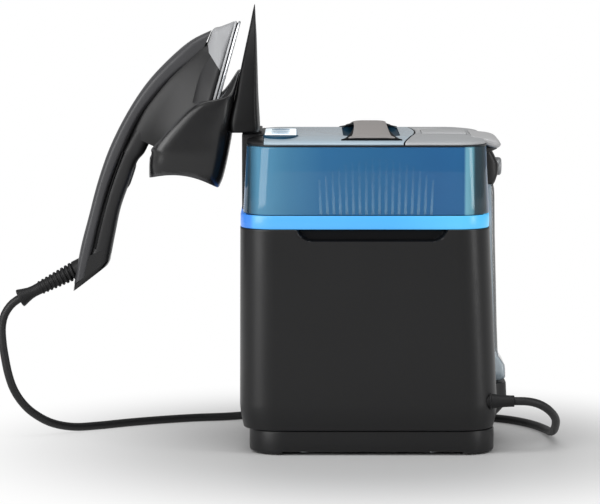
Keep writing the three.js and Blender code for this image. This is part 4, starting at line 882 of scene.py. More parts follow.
def build_casing():
    """The black casing, with the hand scoop, the leg's channel and the shelf below it."""
    heights = [22.3, 22.9, 24, 27, 31, 35, 39, 42, 44, 46, 49, 52, 54, 56, 57, 57.5, 57.9, 58.3, 59,
               61, 66, 90, 120, 150, 175, 187, 189.6, 190.4, 190.9, 191.4, 192, 192.8, 194, 196,
               198, 199.5, 200.6, 201]
    rings = []
    for z in heights:
        half_length, half_depth = casing_size(z)
        inset = 0.7 * max(0, (22.9 - z) / 0.6) + 0.4 * max(0, (z - 200.6) / 0.4)
        ring = []
        share = max(0, (z - TUCK_TOP) / (BAND_BOTTOM - TUCK_TOP))
        outline = rounded_outline(half_length - inset, half_depth - inset, CORNER - inset, CORNER_STEPS, 112)
        for x, y in outline:
            if x < 0:
                x -= STEP_OUT * share
            if y < -half_depth + 1.5:
                y += scoop_push(x, z)
            if x > half_length - 1.5:
                x += leg_shelf(y, z) - leg_push(y, z)
            ring.append(place(x, y, z))
        rings.append(ring)
    casing = loft("casing", rings, casing_plastic, closed=False, crease=50)
    thicken(casing, WALL)
    # The scoop's faces take a darker, duller black: painted shade in the recess.
    casing.data.materials.append(recess_plastic)
    for face in casing.data.polygons:
        x = face.center.x / MM - BASE_X / MM
        z = face.center.z / MM
        if face.center.y < -0.07 and scoop_push(x, z) > 1.0:
            face.material_index = 1
    settle(casing, "base", "casing", "base_shell")


def build_plinth():
    """The set-back plinth, with a lower skirt at its four corners."""
    rows = [(21.9, 12), (21.9, 1.0), (21.4, 0.2), (20.6, 0), (12, 0), (5.5, 0), (4, 0.5), (3.2, 1.6),
            (3, 3.2), (3, 14)]
    rings = []
    for z, inset in rows:
        ring = []
        outline = rounded_outline(PLINTH_HALF_LENGTH - inset, PLINTH_HALF_DEPTH - inset,
                                  max(CORNER - inset, 6), CORNER_STEPS, 60)
        for x, y in outline:
            near_corner = smooth_step(abs(x) - (PLINTH_HALF_LENGTH - 29), 0, 1.2)
            near_corner *= smooth_step(abs(y) - (PLINTH_HALF_DEPTH - 29), 0, 1.2)
            drop = 2.0 * near_corner if z < 6 and inset < 6 else 0
            ring.append(place(x + PLINTH_SHIFT, y, z - drop))
        rings.append(ring)
    plinth = loft("plinth", rings, casing_plastic, crease=50)
    settle(plinth, "base", "casing", "base_plinth")


def top_outline(inset, fill):
    """Outline of the base's upper part, shrunk by an inset."""
    return rounded_outline(TOP_HALF_LENGTH - inset, TOP_HALF_DEPTH - inset, max(CORNER - inset, 4),
                           CORNER_STEPS, fill)


def ring_wall(name, rows, material, thickness, changes=None, fill=60):
    """A wall round the base's outline; rows are (height, inset), changes moves a point."""
    rings = []
    for z, inset in rows:
        ring = []
        for x, y in top_outline(inset, fill):
            if changes:
                x, y = changes(x, y, z)
            ring.append(place(x, y, z))
        rings.append(ring)
    return thicken(loft(name, rings, material, closed=False, crease=50), thickness)


def band_changes(x, y, z):
    """The lit ring steps out at the -X end and steps in behind the water leg."""
    if x < 0:
        x -= STEP_OUT
    if x > TOP_HALF_LENGTH - 2:
        x -= leg_push(y, z)
    return x, y


def build_light_band():
    """The lit ring between casing and tank, rounded along both edges."""
    rows = [(201.3, 0.9), (201.7, 0.5), (202.4, 0.3), (207, 0.2), (212.2, 0.3), (212.9, 0.5), (213.3, 0.9)]
    ring = ring_wall("light_ring", rows, band_glow, 4.4, band_changes, 112)
    settle(ring, "base", "light_guide", "light_band")


def build_neck():
    """The black column that carries the rest, at the -X end."""
    start = -TOP_HALF_LENGTH
    column = block("neck", start - STEP_OUT + 1.2, start + NECK_LENGTH, -NECK_HALF_WIDTH, NECK_HALF_WIDTH,
                   213.7, DECK_CROWN + 0.4, rest_plastic)
    soften(column, 1.4)
    settle(column, "base", "casing", "neck_column")


# ---------------------------------------------------------------- deck, panel and strap
def end_lean(x, z):
    """How far the upper part's two ends lie from its even outline: both lean in upwards."""
    rise = min(1, max(0, (z - BAND_TOP) / (TANK_TOP - BAND_TOP)))
    if x < 0:
        return -4.8 + 3.4 * rise
    return -2.8 * rise


def crown_body(name, material, grow=0.0):
    """The crowned top's outline, shared by the deck and the tank's lid."""
    rows = [(274.7, 0.6), (276.2, 0.0), (276.9, 0.3), (277.7, 1.3), (278.5, 3.2), (279.3, 7), (280, 13),
            (280.8, 21), (281.5, 30)]
    rings = []
    for z, inset in rows:
        outline = top_outline(inset + 0.6 - grow, 12)
        rings.append([place(x + end_lean(x, z), y, z) for x, y in outline])
    return loft(name, rings, material, crease=30)


def deck_disc(name, radius, material):
    """Disc whose edge is the curved seam between the deck and the tank's lid."""
    profile = [(radius, 0), (radius, 40)]
    return turned(name, profile, place(LID_START - LID_RADIUS, 0, 262), (0, 0, 1), material, sides=512)


def build_deck():
    """The glossy deck: cut for the lid, the panel, the neck and the finger dish, with a dark end."""
    deck = crown_body("deck", deck_gloss)
    cut(deck, deck_disc("seam_cut", LID_RADIUS - 1.5, deck_gloss), "INTERSECT")
    cut(deck, block("trim_cut", -125, -92.8, -120, 120, 260, 300, deck_gloss))
    cut(deck, block("panel_cut", -93.1, -63.6, -52.4, 22.4, 278.6, 300, deck_gloss))
    start = -TOP_HALF_LENGTH
    neck_end = start + NECK_LENGTH + NECK_ROOM
    neck_half = NECK_HALF_WIDTH + NECK_ROOM
    cut(deck, block("neck_cut", start - 4, neck_end, -neck_half, neck_half, 260, 300, deck_gloss))
    # The finger dish under the strap is painted dark: painted shade in the recess.
    deck.data.materials.append(dish_gloss)
    dish_rings = []
    for z, inset in ((277.2, 6), (278.4, 2.5), (280, 0.8), (290, 0)):
        outline = rounded_outline(26 - inset, 62 - inset, 14 - inset, 10, 4)
        dish_rings.append([place(x + STRAP_MIDDLE + 0.5, y, z) for x, y in outline])
    dish = loft("dish_cut", dish_rings, deck_gloss)
    dish.data.materials.append(dish_gloss)
    dish.data.polygons.foreach_set("material_index", [1] * len(dish.data.polygons))
    cut(deck, dish, crease=30)
    settle(deck, "base", "deck", "deck_cover")
    trim = crown_body("deck_end", latch_black, 0.5)
    cut(trim, block("trim_keep", -125, -93, -120, 120, 268, 300, latch_black), "INTERSECT")
    cut(trim, block("trim_slot", start - 9, neck_end, -neck_half, neck_half, 260, 300, latch_black))
    soften(trim, 0.6, 2, 50)
    settle(trim, "base", "casing")


def neck_gap(x, y, z):
    """Leans both ends of a wall, and steps it in round the neck column."""
    lean = end_lean(x, z)
    if x < -TOP_HALF_LENGTH + 2:
        x += (NECK_LENGTH + 1 - lean) * smooth_step(NECK_HALF_WIDTH + 1.2 - abs(y), 0, 1.2)
    return x + lean, y


def build_tank_seal():
    """The dark seal on the tank's rim, just below the deck."""
    rows = [(273.9, 0.3), (274.2, 0.1), (275.2, 0.1), (275.5, 0.4)]
    dark_strip = ring_wall("tank_seal", rows, seam_rubber, 2.0, neck_gap)
    settle(dark_strip, "tank", "inner_black")


def build_panel():
    """The lit panel with its three flat keys, and a dark curved plate in front of it that paints the shade
    there.
    """
    panel = block("lit_panel", -92.5, -64.2, -51.8, 21.8, 278.9, 282.6, panel_lit)
    soften(panel, 1.3, 4)
    settle(panel, "base", "panel", "control_panel")
    for job, middle in (("power", -38), ("steam", -15), ("eco", 8)):
        rings = []
        for height, inset in KEY_ROWS:
            outline = rounded_outline(7.2 - inset, 7.2 - inset, 7.19 - inset, 12, 2)
            rings.append([place(-78.3 + 1.15 * x, middle + 0.62 * y, 280 + height) for x, y in outline])
        key = loft(job + "_button_key", rings, button_plastic, crease=50)
        settle(key, job + "_key", "button", job + "_button")
    # The dark crescent in front of the panel is a plate of painted shade.
    shade = []
    for i in range(25):
        angle = math.pi * i / 24
        shade.append((-78 + 15.5 * math.cos(angle), -52.5 - 22 * math.sin(angle)))
    rings = [[place(x, y, z) for x, y in shade] for z in (277, 282.1)]
    crescent = loft("panel_shade", rings, shade_gloss)
    settle(crescent, "base", "deck")


def strap_body(name, top, thickness, foot_half, flare, material):
    """A band across the deck that rises off it in the middle and widens at its feet."""
    rings = []
    steps = 56
    seat = DECK_EDGE + 2.4
    side_power = 2 / 7
    for k in range(steps + 1):
        share = -1 + 2 * k / steps
        rise = max(0.0, math.cos(abs(share) * math.pi / 2)) ** 0.8
        low = seat + (STRAP_TOP - 4 - seat) * rise
        half = foot_half + (14.6 - foot_half) * rise ** flare
        ring = []
        for i in range(40):
            angle = 2 * math.pi * (i + 0.5) / 40
            across = math.copysign(abs(math.cos(angle)) ** side_power, math.cos(angle))
            up = math.copysign(abs(math.sin(angle)) ** (2 / 3), math.sin(angle))
            crown = 0.7 * (1 - across * across)
            height = low + top - thickness / 2 + up * thickness / 2 + crown
            ring.append(place(STRAP_MIDDLE + half * across, share * STRAP_HALF_SPAN, height))
        rings.append(ring)
    return loft(name, rings, material, crease=60)


def build_strap():
    """The grey carry strap on its black lining."""
    skin_piece = strap_body("strap_skin", 3.6, 2.2, 20.5, 0.35, strap_skin)
    settle(skin_piece, "base", "strap", "carry_strap")
    lining = strap_body("strap_lining", 1.7, 2.4, 27, 0.62, strap_lining)
    settle(lining, "base", "strap")


# ---------------------------------------------------------------- tank
def build_tank():
    """The tinted tank, its clear water leg and the flutes in its front."""
    rows = [(213.8, 0.8), (214.2, 0.5), (215, 0.4), (230, 0.4), (250, 0.4), (272.5, 0.4), (274.0, 0.7)]
    shell = ring_wall("tank_wall", rows, tank_plastic, 2.4, neck_gap)
    settle(shell, "tank", "tank_blue", "tank_shell")
    floor_rows = []
    for z in (214.6, 216.4):
        outline = top_outline(3.5, 60)
        stepped = [neck_gap(x - 1.6 if x < -TOP_HALF_LENGTH + 5 else x, y, z) for x, y in outline]
        floor_rows.append([place(x, y, z) for x, y in stepped])
    settle(loft("tank_floor", floor_rows, tank_plastic), "tank", "tank_blue")
    build_water_leg()
    build_flutes()


def build_water_leg():
    """The clear leg down the +X end, with its rounded foot."""
    rings = []
    rows = [(58, 4), (58.5, 2.2), (59.5, 1), (61.5, 0.2), (65, 0), (69, 0), (73, 0), (77, 0), (81, 0),
            (86, 0), (110, 0), (150, 0), (190, 0), (225, 0), (232, 0.6), (236, 2)]
    for z, inset in rows:
        outside = casing_size(min(z, 201))[0] + LIMB_OUTSTAND
        belly = 6.0 * smooth_step(z, 55, 62) * (1 - smooth_step(z, 71, 83))
        outside += 1.8 * smooth_step(z, 90, 200)
        outline = rounded_outline(LIMB_THICKNESS / 2 + belly / 2 - inset * 0.6, LIMB_HALF_WIDTH - inset,
                                  4.4 - inset * 0.4, 8, 6)
        middle = outside + belly / 2 - LIMB_THICKNESS / 2
        rings.append([place(x + middle, y, z) for x, y in outline])
    leg = loft("water_leg", rings, clear_plastic, crease=50)
    settle(leg, "tank", "tank_blue")


def build_flute_tree():
    """Slim flutes in a row: they fan out, and the middle ones are the tallest."""
    tree, start, end = new_tree("flute_row", [
        ("Count", "NodeSocketInt", 18), ("Spacing", "NodeSocketFloat", 0.0059),
        ("Height", "NodeSocketFloat", 0.044), ("Width", "NodeSocketFloat", 0.0016),
        ("Fan", "NodeSocketFloat", 0.012)])
    points = point_row(tree, start, "Spacing", "X")
    rib = tree.nodes.new("GeometryNodeMeshCone")
    rib.inputs["Vertices"].default_value = 10
    rib.inputs["Side Segments"].default_value = 8
    rib.inputs["Radius Bottom"].default_value = 0.5
    rib.inputs["Radius Top"].default_value = 0.36
    rib.inputs["Depth"].default_value = 1.0
    index = tree.nodes.new("GeometryNodeInputIndex")
    last = maths(tree, "SUBTRACT", start.outputs["Count"], 1)
    middle = maths(tree, "DIVIDE", last, 2)
    away = maths(tree, "SUBTRACT", index.outputs[0], middle)
    share = maths(tree, "DIVIDE", away, middle)
    squared = maths(tree, "MULTIPLY", share, share)
    tall = maths(tree, "SUBTRACT", 1.0, maths(tree, "MULTIPLY", squared, 0.38))
    height = maths(tree, "MULTIPLY", tall, start.outputs["Height"])
    turn = tree.nodes.new("ShaderNodeCombineXYZ")
    tree.links.new(maths(tree, "MULTIPLY", away, start.outputs["Fan"]), turn.inputs["Y"])
    size = tree.nodes.new("ShaderNodeCombineXYZ")
    tree.links.new(start.outputs["Width"], size.inputs["X"])
    size.inputs["Y"].default_value = 0.0009
    tree.links.new(height, size.inputs["Z"])
    spread = spread_on(tree, points, rib.outputs["Mesh"])
    tree.links.new(turn.outputs[0], spread.inputs["Rotation"])
    tree.links.new(size.outputs[0], spread.inputs["Scale"])
    finish_tree(tree, end, spread.outputs["Instances"], flute_light)
    return tree


def build_flutes():
    """Eighteen flutes on the tank's front face."""
    tree = build_flute_tree()
    foot = place(-42.5, -TOP_HALF_DEPTH + 0.3, 214.6)
    flutes = run_tree("tank_flutes", tree, Matrix.Translation(foot), Count=18, Spacing=0.0057,
                      Height=0.049, Width=0.0026, Fan=0.006)
    settle(flutes, "tank", "tank_blue")


def build_lid_seam():
    """A dark strip on the tank's side of the curved seam, just under the top: a painted shadow in the gap
    along the lid's edge.
    """
    dark_strip = crown_body("lid_seal", parting_black, -0.6)
    dark_strip.data.transform(Matrix.Translation((0, 0, -0.35 * MM)))
    cut(dark_strip, deck_disc("seal_outer", LID_RADIUS + 0.2, parting_black), "INTERSECT")
    cut(dark_strip, deck_disc("seal_inner", LID_RADIUS - 1.7, parting_black))
    settle(dark_strip, "tank", "inner_black")


def build_lid():
    """The silver end of the top, its fill flap, the grip lip, the latch and its knob."""
    lid = crown_body("lid", lid_silver)
    cut(lid, deck_disc("lid_keep", LID_RADIUS, lid_silver))
    cut(lid, block("flap_cut", 47.6, 88.4, -24.4, 24.4, 279.4, 300, lid_silver))
    cut(lid, block("filler_cut", 52, 82, -19, 19, 262, 300, lid_silver))
    soften(lid, 0.5, 2, 50)
    settle(lid, "tank", "silver", "tank_lid")
    build_lid_seam()
    flap = block("fill_door", 48.2, 87.6, -23.8, 23.8, 278.6, 281.9, lid_silver)
    soften(flap, 0.9, 3)
    settle(flap, "flap", "silver", "fill_flap")
    lip_rows = [
        (91.5, 280.6, 91.5, 277.6, 40, 40, 6, 0),
        (94, 280.4, 94, 277.2, 42.5, 42.5, 6, 0),
        (102, 279.2, 103, 272.6, 44, 44, 6, 0),
        (109, 278.6, 109, 269.6, 43.5, 43.5, 5.5, 0),
        (114.4, 277.2, 114, 268.4, 41.5, 41.5, 4.5, 0),
        (117, 275, 116.8, 269.4, 38.5, 38.5, 3.6, 0),
        (118.2, 273, 118.2, 271.4, 35.5, 35.5, 3, 0),
    ]
    lip = skin("grip_lip", lip_rows, grip_silver, place, 6, 50)
    settle(lip, "tank", "silver", "tank_grip")
    under_rows = [
        (103.5, 272, 103.5, 262.8, 35, 35, 6, 0),
        (109.5, 271.4, 109.5, 265, 33, 33, 5, 0),
        (115, 269.6, 115, 267.6, 30, 30, 4, 0),
    ]
    under = skin("grip_underside", under_rows, latch_black, place, 5, 50)
    settle(under, "tank", "soft_black")
    house_rows = [
        (103.2, 272, 105.2, 230, 28, 28, 6, 0),
        (107.5, 271, 109.8, 232, 27, 27, 6, 0),
        (112.2, 264, 113.4, 236, 25.5, 25.5, 5.5, 0),
        (115.4, 257.4, 115.6, 241.6, 23.5, 23.5, 5, 0),
        (116.8, 253.6, 116.8, 245.4, 20.5, 20.5, 5, 0),
    ]
    house = skin("latch_block", house_rows, latch_black, place, 6, 50)
    settle(house, "tank", "soft_black", "latch_housing")
    knob_profile = [(0.01, 0), (8.2, 0), (8.2, 3.4), (7.8, 4.8), (6.6, 5.7), (4.4, 5.9), (0.01, 5.8)]
    knob = turned("release_knob", knob_profile, place(114.8, 0, 250), (1, 0, 0), knob_silver, 56, 50)
    settle(knob, "latch", "silver", "latch_knob")


# ---------------------------------------------------------------- rest
def build_rest():
    """The upright wedge and its flat foot."""
    rows = [
        (-101.5, 396.2, -102.2, 395.2, 1.0, 1.0, 4, 0),
        (-101.2, 390, -103.6, 389, 9, 9, 5, 0),
        (-100.8, 380, -105.6, 378.8, 17.5, 17.5, 6, 0),
        (-100.2, 368, -108.2, 366.6, 25, 25, 7, 0),
        (-99.6, 345, -113.1, 343.6, 35, 35, 8, 0),
        (-98.8, 315, -119.2, 314, 43, 43, 8, 0),
        (-97.8, 296, -123.2, 295.4, 47, 47, 8, 0),
        (-97.3, 286, -123.3, 286, 47, 47, 8, 0),
        (-97.4, 284, -122.8, 284, 46.4, 46.4, 8, 0),
    ]
    plate = skin("rest_wedge", rows, rest_plastic, place, 6, 34)
    settle(plate, "base", "casing", "rest_plate")
    foot = block("rest_root", -122.6, -TOP_HALF_LENGTH + NECK_LENGTH - 8, -30, 30, 282.2, 284.4, rest_plastic)
    soften(foot, 0.8)
    settle(foot, "base", "casing", "rest_foot")


# ---------------------------------------------------------------- handset
def sole_half(distance):
    """Half width of the sole at a distance from its tip."""
    share = min(1, distance / (SOLE_LENGTH * 0.8))
    tail = max(0, (distance - SOLE_LENGTH * 0.8) / (SOLE_LENGTH * 0.2))
    return SOLE_HALF_WIDTH * math.sin(share * math.pi / 2) ** 0.82 * (1 - 0.3 * tail ** 3)


def sole_outline(inset, steps=48):
    """Outline of the sole as (across, along) points, shrunk by an inset."""
    half = []
    for i in range(steps + 1):
        share = i / steps
        distance = inset * 1.6 + (SOLE_LENGTH - inset * 2.6) * share ** 1.5
        half.append((max(0.2, sole_half(max(0, distance)) - inset), -distance))
    heel_half, heel = half[-1]
    heel_row = [(heel_half * (1 - (k / 8) * 2), heel) for k in range(1, 8)]
    return half + heel_row + [(-across, along) for across, along in reversed(half)]


def sole_layer(name, rows, material):
    """A plate in the sole's outline; rows are (inset, depth behind the sole face)."""
    rings = [[hand(-depth, across, along) for across, along in sole_outline(inset)] for inset, depth in rows]
    return loft(name, rings, material, crease=40)


def build_vent_tree(points_body):
    """A small turned cup on every point of a mesh."""
    tree, start, end = new_tree("steam_vents", [
        ("Radius", "NodeSocketFloat", 0.0016), ("Depth", "NodeSocketFloat", 0.0002)])
    source = tree.nodes.new("GeometryNodeObjectInfo")
    source.inputs["Object"].default_value = points_body
    cup = tree.nodes.new("GeometryNodeMeshCylinder")
    cup.inputs["Vertices"].default_value = 16
    tree.links.new(start.outputs["Radius"], cup.inputs["Radius"])
    tree.links.new(start.outputs["Depth"], cup.inputs["Depth"])
    spread = spread_on(tree, source.outputs["Geometry"], cup.outputs["Mesh"])
    spread.inputs["Rotation"].default_value = (0, math.pi / 2 + LEAN, 0)
    finish_tree(tree, end, spread.outputs["Instances"], inner_black)
    return tree


def build_sole():
    """The steel sole with its steam vents, a dark gasket and the bright skirt behind it."""
    rows = [(1.6, 0.0), (0.7, 0.0), (0.2, 0.25), (0.0, 0.8), (0.0, 1.7), (0.3, 2.1)]
    sole = sole_layer("sole", rows, brushed_sole)
    settle(sole, "handset", "steel", "soleplate")
    gasket = sole_layer("sole_gasket", [(1.4, 1.9), (1.2, 2.3), (1.2, 3.1), (1.4, 3.4)], inner_black)
    settle(gasket, "handset", "inner_black")
    skirt = sole_layer("sole_skirt", [(1.0, 3.3), (0.5, 3.6), (0.5, 4.9), (1.0, 5.3)], skirt_bright)
    settle(skirt, "handset", "silver", "heat_skirt")
    spots = []
    for row in range(6):
        distance = 24 + row * 15
        half = sole_half(distance) - 8
        spots += [(half, -distance), (-half, -distance)]
        spots += [(half * 0.55, -distance - 7), (-half * 0.55, -distance - 7)]
    spots += [(0, -18), (0, -32), (0, -46)]
    mesh = bpy.data.meshes.new("vent_places")
    mesh.from_pydata([tuple(hand(0.02, across, along)) for across, along in spots], [], [])
    places = link_object("vent_places", mesh)
    vents = run_tree("sole_vents", build_vent_tree(places), Radius=0.0016, Depth=0.00016)
    bpy.data.objects.remove(places)
    vents.data.set_sharp_from_angle(angle=0.7)
    settle(vents, "handset", "inner_black")


def build_head():
    """The head shell with dished flanks, the raised cheeks and the silver nose."""
    face = -5.3
    rows = [
        (-9.4, -8, face, -10, 6, 9, 3.6, 0.0),
        (-22, -24, face, -28, 10, sole_half(28) - 2, 4, 0.04),
        (-34, -34, face, -46, 11.5, sole_half(46) - 2, 4, 0.1),
        (-49, -57, face, -68, 12.5, sole_half(68) - 2, 4, 0.18),
        (-59.5, -78, face, -92, 12.8, sole_half(92) - 2, 4, 0.24),
        (-67, -98, face, -118, 13, sole_half(118) - 3, 4, 0.26),
        (-71, -124, face, -135.5, 13, sole_half(SOLE_LENGTH) - 3, 4, 0.24),
    ]
    head = skin("head", rows, head_plastic, hand, 8, 42)
    settle(head, "handset", "casing", "head_shell")
    # The cheeks are painted a lighter grey than the head shell: painted light on the raised facets.
    cheek_rows = [
        (-24.6, -31.4, -4.9, -33, 11.4, sole_half(33) - 0.9, 5, 0.0),
        (-25.6, -38, -4.9, -48, 13.2, sole_half(48) - 0.9, 5, 0.0),
        (-25.2, -58, -4.9, -62, 21, sole_half(62) - 0.9, 5, 0.0),
        (-24.2, -80.4, -4.9, -80, 26.5, sole_half(80) - 0.9, 5, 0.0),
    ]
    cheeks = skin("head_cheeks", cheek_rows, cheek_plastic, hand, 6, 42)
    settle(cheeks, "handset", "casing")
    nose_rows = [
        (-6.2, -1.6, -4.6, -2.4, 1.0, 1.2, 3, 0),
        (-10.2, -4.8, -4.6, -10, 5.0, 9.6, 3.4, 0),
        (-16.2, -9.2, -4.6, -22, 8.2, sole_half(22) - 0.6, 4, 0),
        (-22.6, -14.2, -4.6, -36, 11.2, sole_half(36) - 0.6, 4.4, 0),
        (-24.4, -30.4, -4.6, -47.6, 11.9, sole_half(47.6) - 0.6, 4.6, 0),
    ]
    nose = skin("nose", nose_rows, nose_silver, hand, 6, 42)
    settle(nose, "handset", "silver", "nose_panel")


def build_handle():
    """The handle: spine, grip, parting line, trigger and slanted end cap."""
    spine_rows = [
        (-23.4, -14.6, -27, -38.6, 11.5, 11.5, 3.6, 0),
        (-39.5, -29.3, -35, -50, 14.2, 14.2, 3.6, 0),
        (-54.8, -52.1, -44.6, -63.4, 15.2, 15.2, 3.4, 0),
        (-67.5, -77.2, -55.2, -83, 15.8, 15.8, 3.4, 0),
        (-77.1, -107, -65, -108, 16, 16, 3.4, 0),
        (-83.8, -140.7, -71.3, -142.8, 16, 16, 3.4, 0),
        (-86.1, -174.2, -74.8, -175, 16, 16, 3.4, 0),
        (-85.8, -206.2, -75, -206, 16, 16, 3.4, 0),
        (-85.4, -235.3, -74, -232, 16, 16, 3.4, 0),
        (-82.6, -268.4, -73.4, -257.5, 13.6, 13.6, 3.4, 0),
    ]
    spine = skin("handle_spine", spine_rows, spine_plastic, hand, 8, 50)
    settle(spine, "handset", "soft_black", "spine_cover")
    grip_rows = [
        (-64, -108, -44, -118, 12.6, 14, 3, 0),
        (-68, -119, -50, -126.4, 12.8, 13.4, 3, 0),
        (-71.5, -134, -52.6, -137.4, 13.2, 13.2, 3, 0),
        (-74, -146, -56.6, -146.8, 13.6, 13.4, 3, 0),
        (-76, -164, -58, -163, 14, 13.8, 3, 0),
        (-77, -190, -60.1, -190, 14.4, 14, 3, 0),
        (-77, -215, -58.8, -214.4, 14.4, 14, 3, 0),
        (-75.7, -260.2, -57, -238, 13.2, 13, 3, 0),
    ]
    grip = skin("handle_grip", grip_rows, grip_rubber, hand, 8, 50)
    settle(grip, "handset", "casing", "hand_grip")
    strip_rows = []
    for x, z, wide in ((-83.8, -140.7, 16), (-86.1, -174.2, 16), (-85.8, -206.2, 16), (-85.2, -232, 15.8)):
        strip_rows.append((x + 11.4, z, x + 14.2, z - 0.2, wide - 1.4, wide - 1.6, 2.6, 0))
    strip = skin("handle_strip", strip_rows, groove_black, hand, 8, 50)
    settle(strip, "handset", "soft_black")
    cap_rows = [
        (-84.6, -246, -58.2, -226, 14.6, 13.6, 3.2, 0),
        (-83.6, -258, -57.4, -233, 14.2, 13.4, 3.2, 0),
        (-82.4, -269.4, -56.8, -239.2, 13.2, 12.6, 3.2, 0),
        (-81.6, -275.6, -57.6, -243.6, 11.6, 11, 3, 0),
    ]
    cap = skin("handle_cap", cap_rows, cap_gloss, hand, 6, 50)
    settle(cap, "handset", "soft_black", "rear_cap")
    trigger_rows = [
        (-64, -148.2, -57.4, -147.8, 5, 4.6, 4, 0),
        (-63, -152, -56.6, -152, 5.8, 5.4, 4, 0),
        (-63, -160, -56.8, -160, 5.8, 5.4, 4, 0),
        (-63, -168, -57.4, -168, 5.8, 5.4, 4, 0),
        (-63, -172, -58.6, -172, 5, 4.6, 4, 0),
    ]
    trigger = skin("trigger_key", trigger_rows, trigger_plastic, hand, 5, 50)
    settle(trigger, "trigger", "soft_black", "steam_trigger")


def build_rib_tree():
    """Rings along a straight boot, shrinking towards its end."""
    tree, start, end = new_tree("boot_ribs", [
        ("Count", "NodeSocketInt", 9), ("Pitch", "NodeSocketFloat", 0.004),
        ("Radius", "NodeSocketFloat", 0.0074), ("Thickness", "NodeSocketFloat", 0.0015),
        ("Taper", "NodeSocketFloat", 0.03)])
    points = point_row(tree, start, "Pitch", "Z")
    loop = tree.nodes.new("GeometryNodeCurvePrimitiveCircle")
    loop.inputs["Resolution"].default_value = 36
    tree.links.new(start.outputs["Radius"], loop.inputs["Radius"])
    wire = tree.nodes.new("GeometryNodeCurvePrimitiveCircle")
    wire.inputs["Resolution"].default_value = 12
    tree.links.new(start.outputs["Thickness"], wire.inputs["Radius"])
    ring = tree.nodes.new("GeometryNodeCurveToMesh")
    tree.links.new(loop.outputs["Curve"], ring.inputs["Curve"])
    tree.links.new(wire.outputs["Curve"], ring.inputs["Profile Curve"])
    index = tree.nodes.new("GeometryNodeInputIndex")
    shrink = maths(tree, "SUBTRACT", 1.0, maths(tree, "MULTIPLY", index.outputs[0], start.outputs["Taper"]))
    spread = spread_on(tree, points, ring.outputs["Mesh"])
    tree.links.new(shrink, spread.inputs["Scale"])
    finish_tree(tree, end, spread.outputs["Instances"], boot_rubber)
    return tree


def build_boot():
    """The bending boot where the hose enters the handle: core, ribs and flared cuff."""
    seat = hand(*BOOT_SEAT)
    way = boot_way()
    profile = [(8.2, -8), (8.2, 1.6), (7.4, 2.4), (6.4, 3), (5.4, 38), (5.2, 44), (5.6, 48), (6.8, 52.5),
               (7.9, 56), (8.3, 57.4), (8.1, 58.3), (7.4, 58.6), (4.2, 58.6)]
    core = turned("boot", profile, seat, way, boot_rubber, 48, 50)
    settle(core, "handset", "rubber", "hose_boot")
    turn = way.to_track_quat("Z", "Y").to_matrix().to_4x4()
    move = Matrix.Translation(seat + way * 0.0045) @ turn
    ribs = run_tree("boot_ribs", build_rib_tree(), move, Count=9, Pitch=0.004, Radius=0.0068,
                    Thickness=0.00155, Taper=0.03)
    settle(ribs, "handset", "rubber")


def build_gland():
    """The tapered sleeve where the hose leaves the casing."""
    profile = [(6.4, -12), (6.4, 0.5), (7.6, 0.8), (7.6, 2.2), (6.6, 2.8), (6.0, 8), (5.4, 14), (5.1, 20),
               (5.1, 22.4), (4.9, 23), (3.9, 23)]
    gland = turned("hose_sleeve_end", profile, place(*GLAND_SEAT), (1, 0, 0), boot_rubber, 40, 50)
    settle(gland, "base", "rubber", "hose_gland")


# ---------------------------------------------------------------- holster
def build_holster():
    """The pocket round the handset's heel: a shaped block cut out for the sole and head."""
    rows = [
        (-42.4, -156, 20.6, -147.4, 42, 42, 4.5, 0),
        (-45, -146, 21.8, -138, 49, 49, 4.5, 0),
        (-47.5, -134, 21.1, -120, 51.5, 51.5, 4.5, 0),
        (-50, -127.5, 19.1, -98.4, 51.5, 51.5, 4.5, 0),
        (-39, -103.6, 16.9, -80, 51, 51, 4.5, 0),
        (-24, -80.6, 14.8, -66, 50, 50, 4, 0),
        (-1.7, -70, 12.6, -58, 46, 46, 5, 0),
        (8.4, -45, 11.2, -43, 32, 32, 5, 0),
    ]
    holster = skin("holster", rows, holster_plastic, hand, 5, 42)
    outline = sole_outline(-1.8)
    room_rings = [[hand(-depth, across, along) for across, along in outline] for depth in (-0.4, 92)]
    cut(holster, loft("sole_room", room_rings, holster_plastic))
    cut(holster, block("side_room", -89, 0.4, -46.8, 46.8, -110, 24, holster_plastic, hand))
    cut(holster, block("front_room", 3.6, 14.6, -38, 38, -175, -72, holster_plastic, hand))
    wedge = skin("wedge_room", [
        (-60, 400, -101.6, 400, 60, 60, 10, 0),
        (-60, 366.6, -108.6, 366.6, 60, 60, 10, 0),
        (-60, 343.6, -113.5, 343.6, 60, 60, 10, 0),
        (-60, 314, -119.6, 314, 60, 60, 10, 0),
        (-60, 295.4, -123.6, 295.4, 60, 60, 10, 0),
        (-60, 283.6, -123.6, 283.6, 60, 60, 10, 0),
    ], holster_plastic, place, 1)
    cut(holster, wedge)
    arch = turned("arch_room", [(66.6, 0), (66.6, 160)], place(-173.6, -80, 179.2), (0, 1, 0),
                  holster_plastic, 160)
    cut(holster, arch)
    soften(holster, 0.5, 2, 50, 45)
    settle(holster, "base", "casing", "rest_holster")


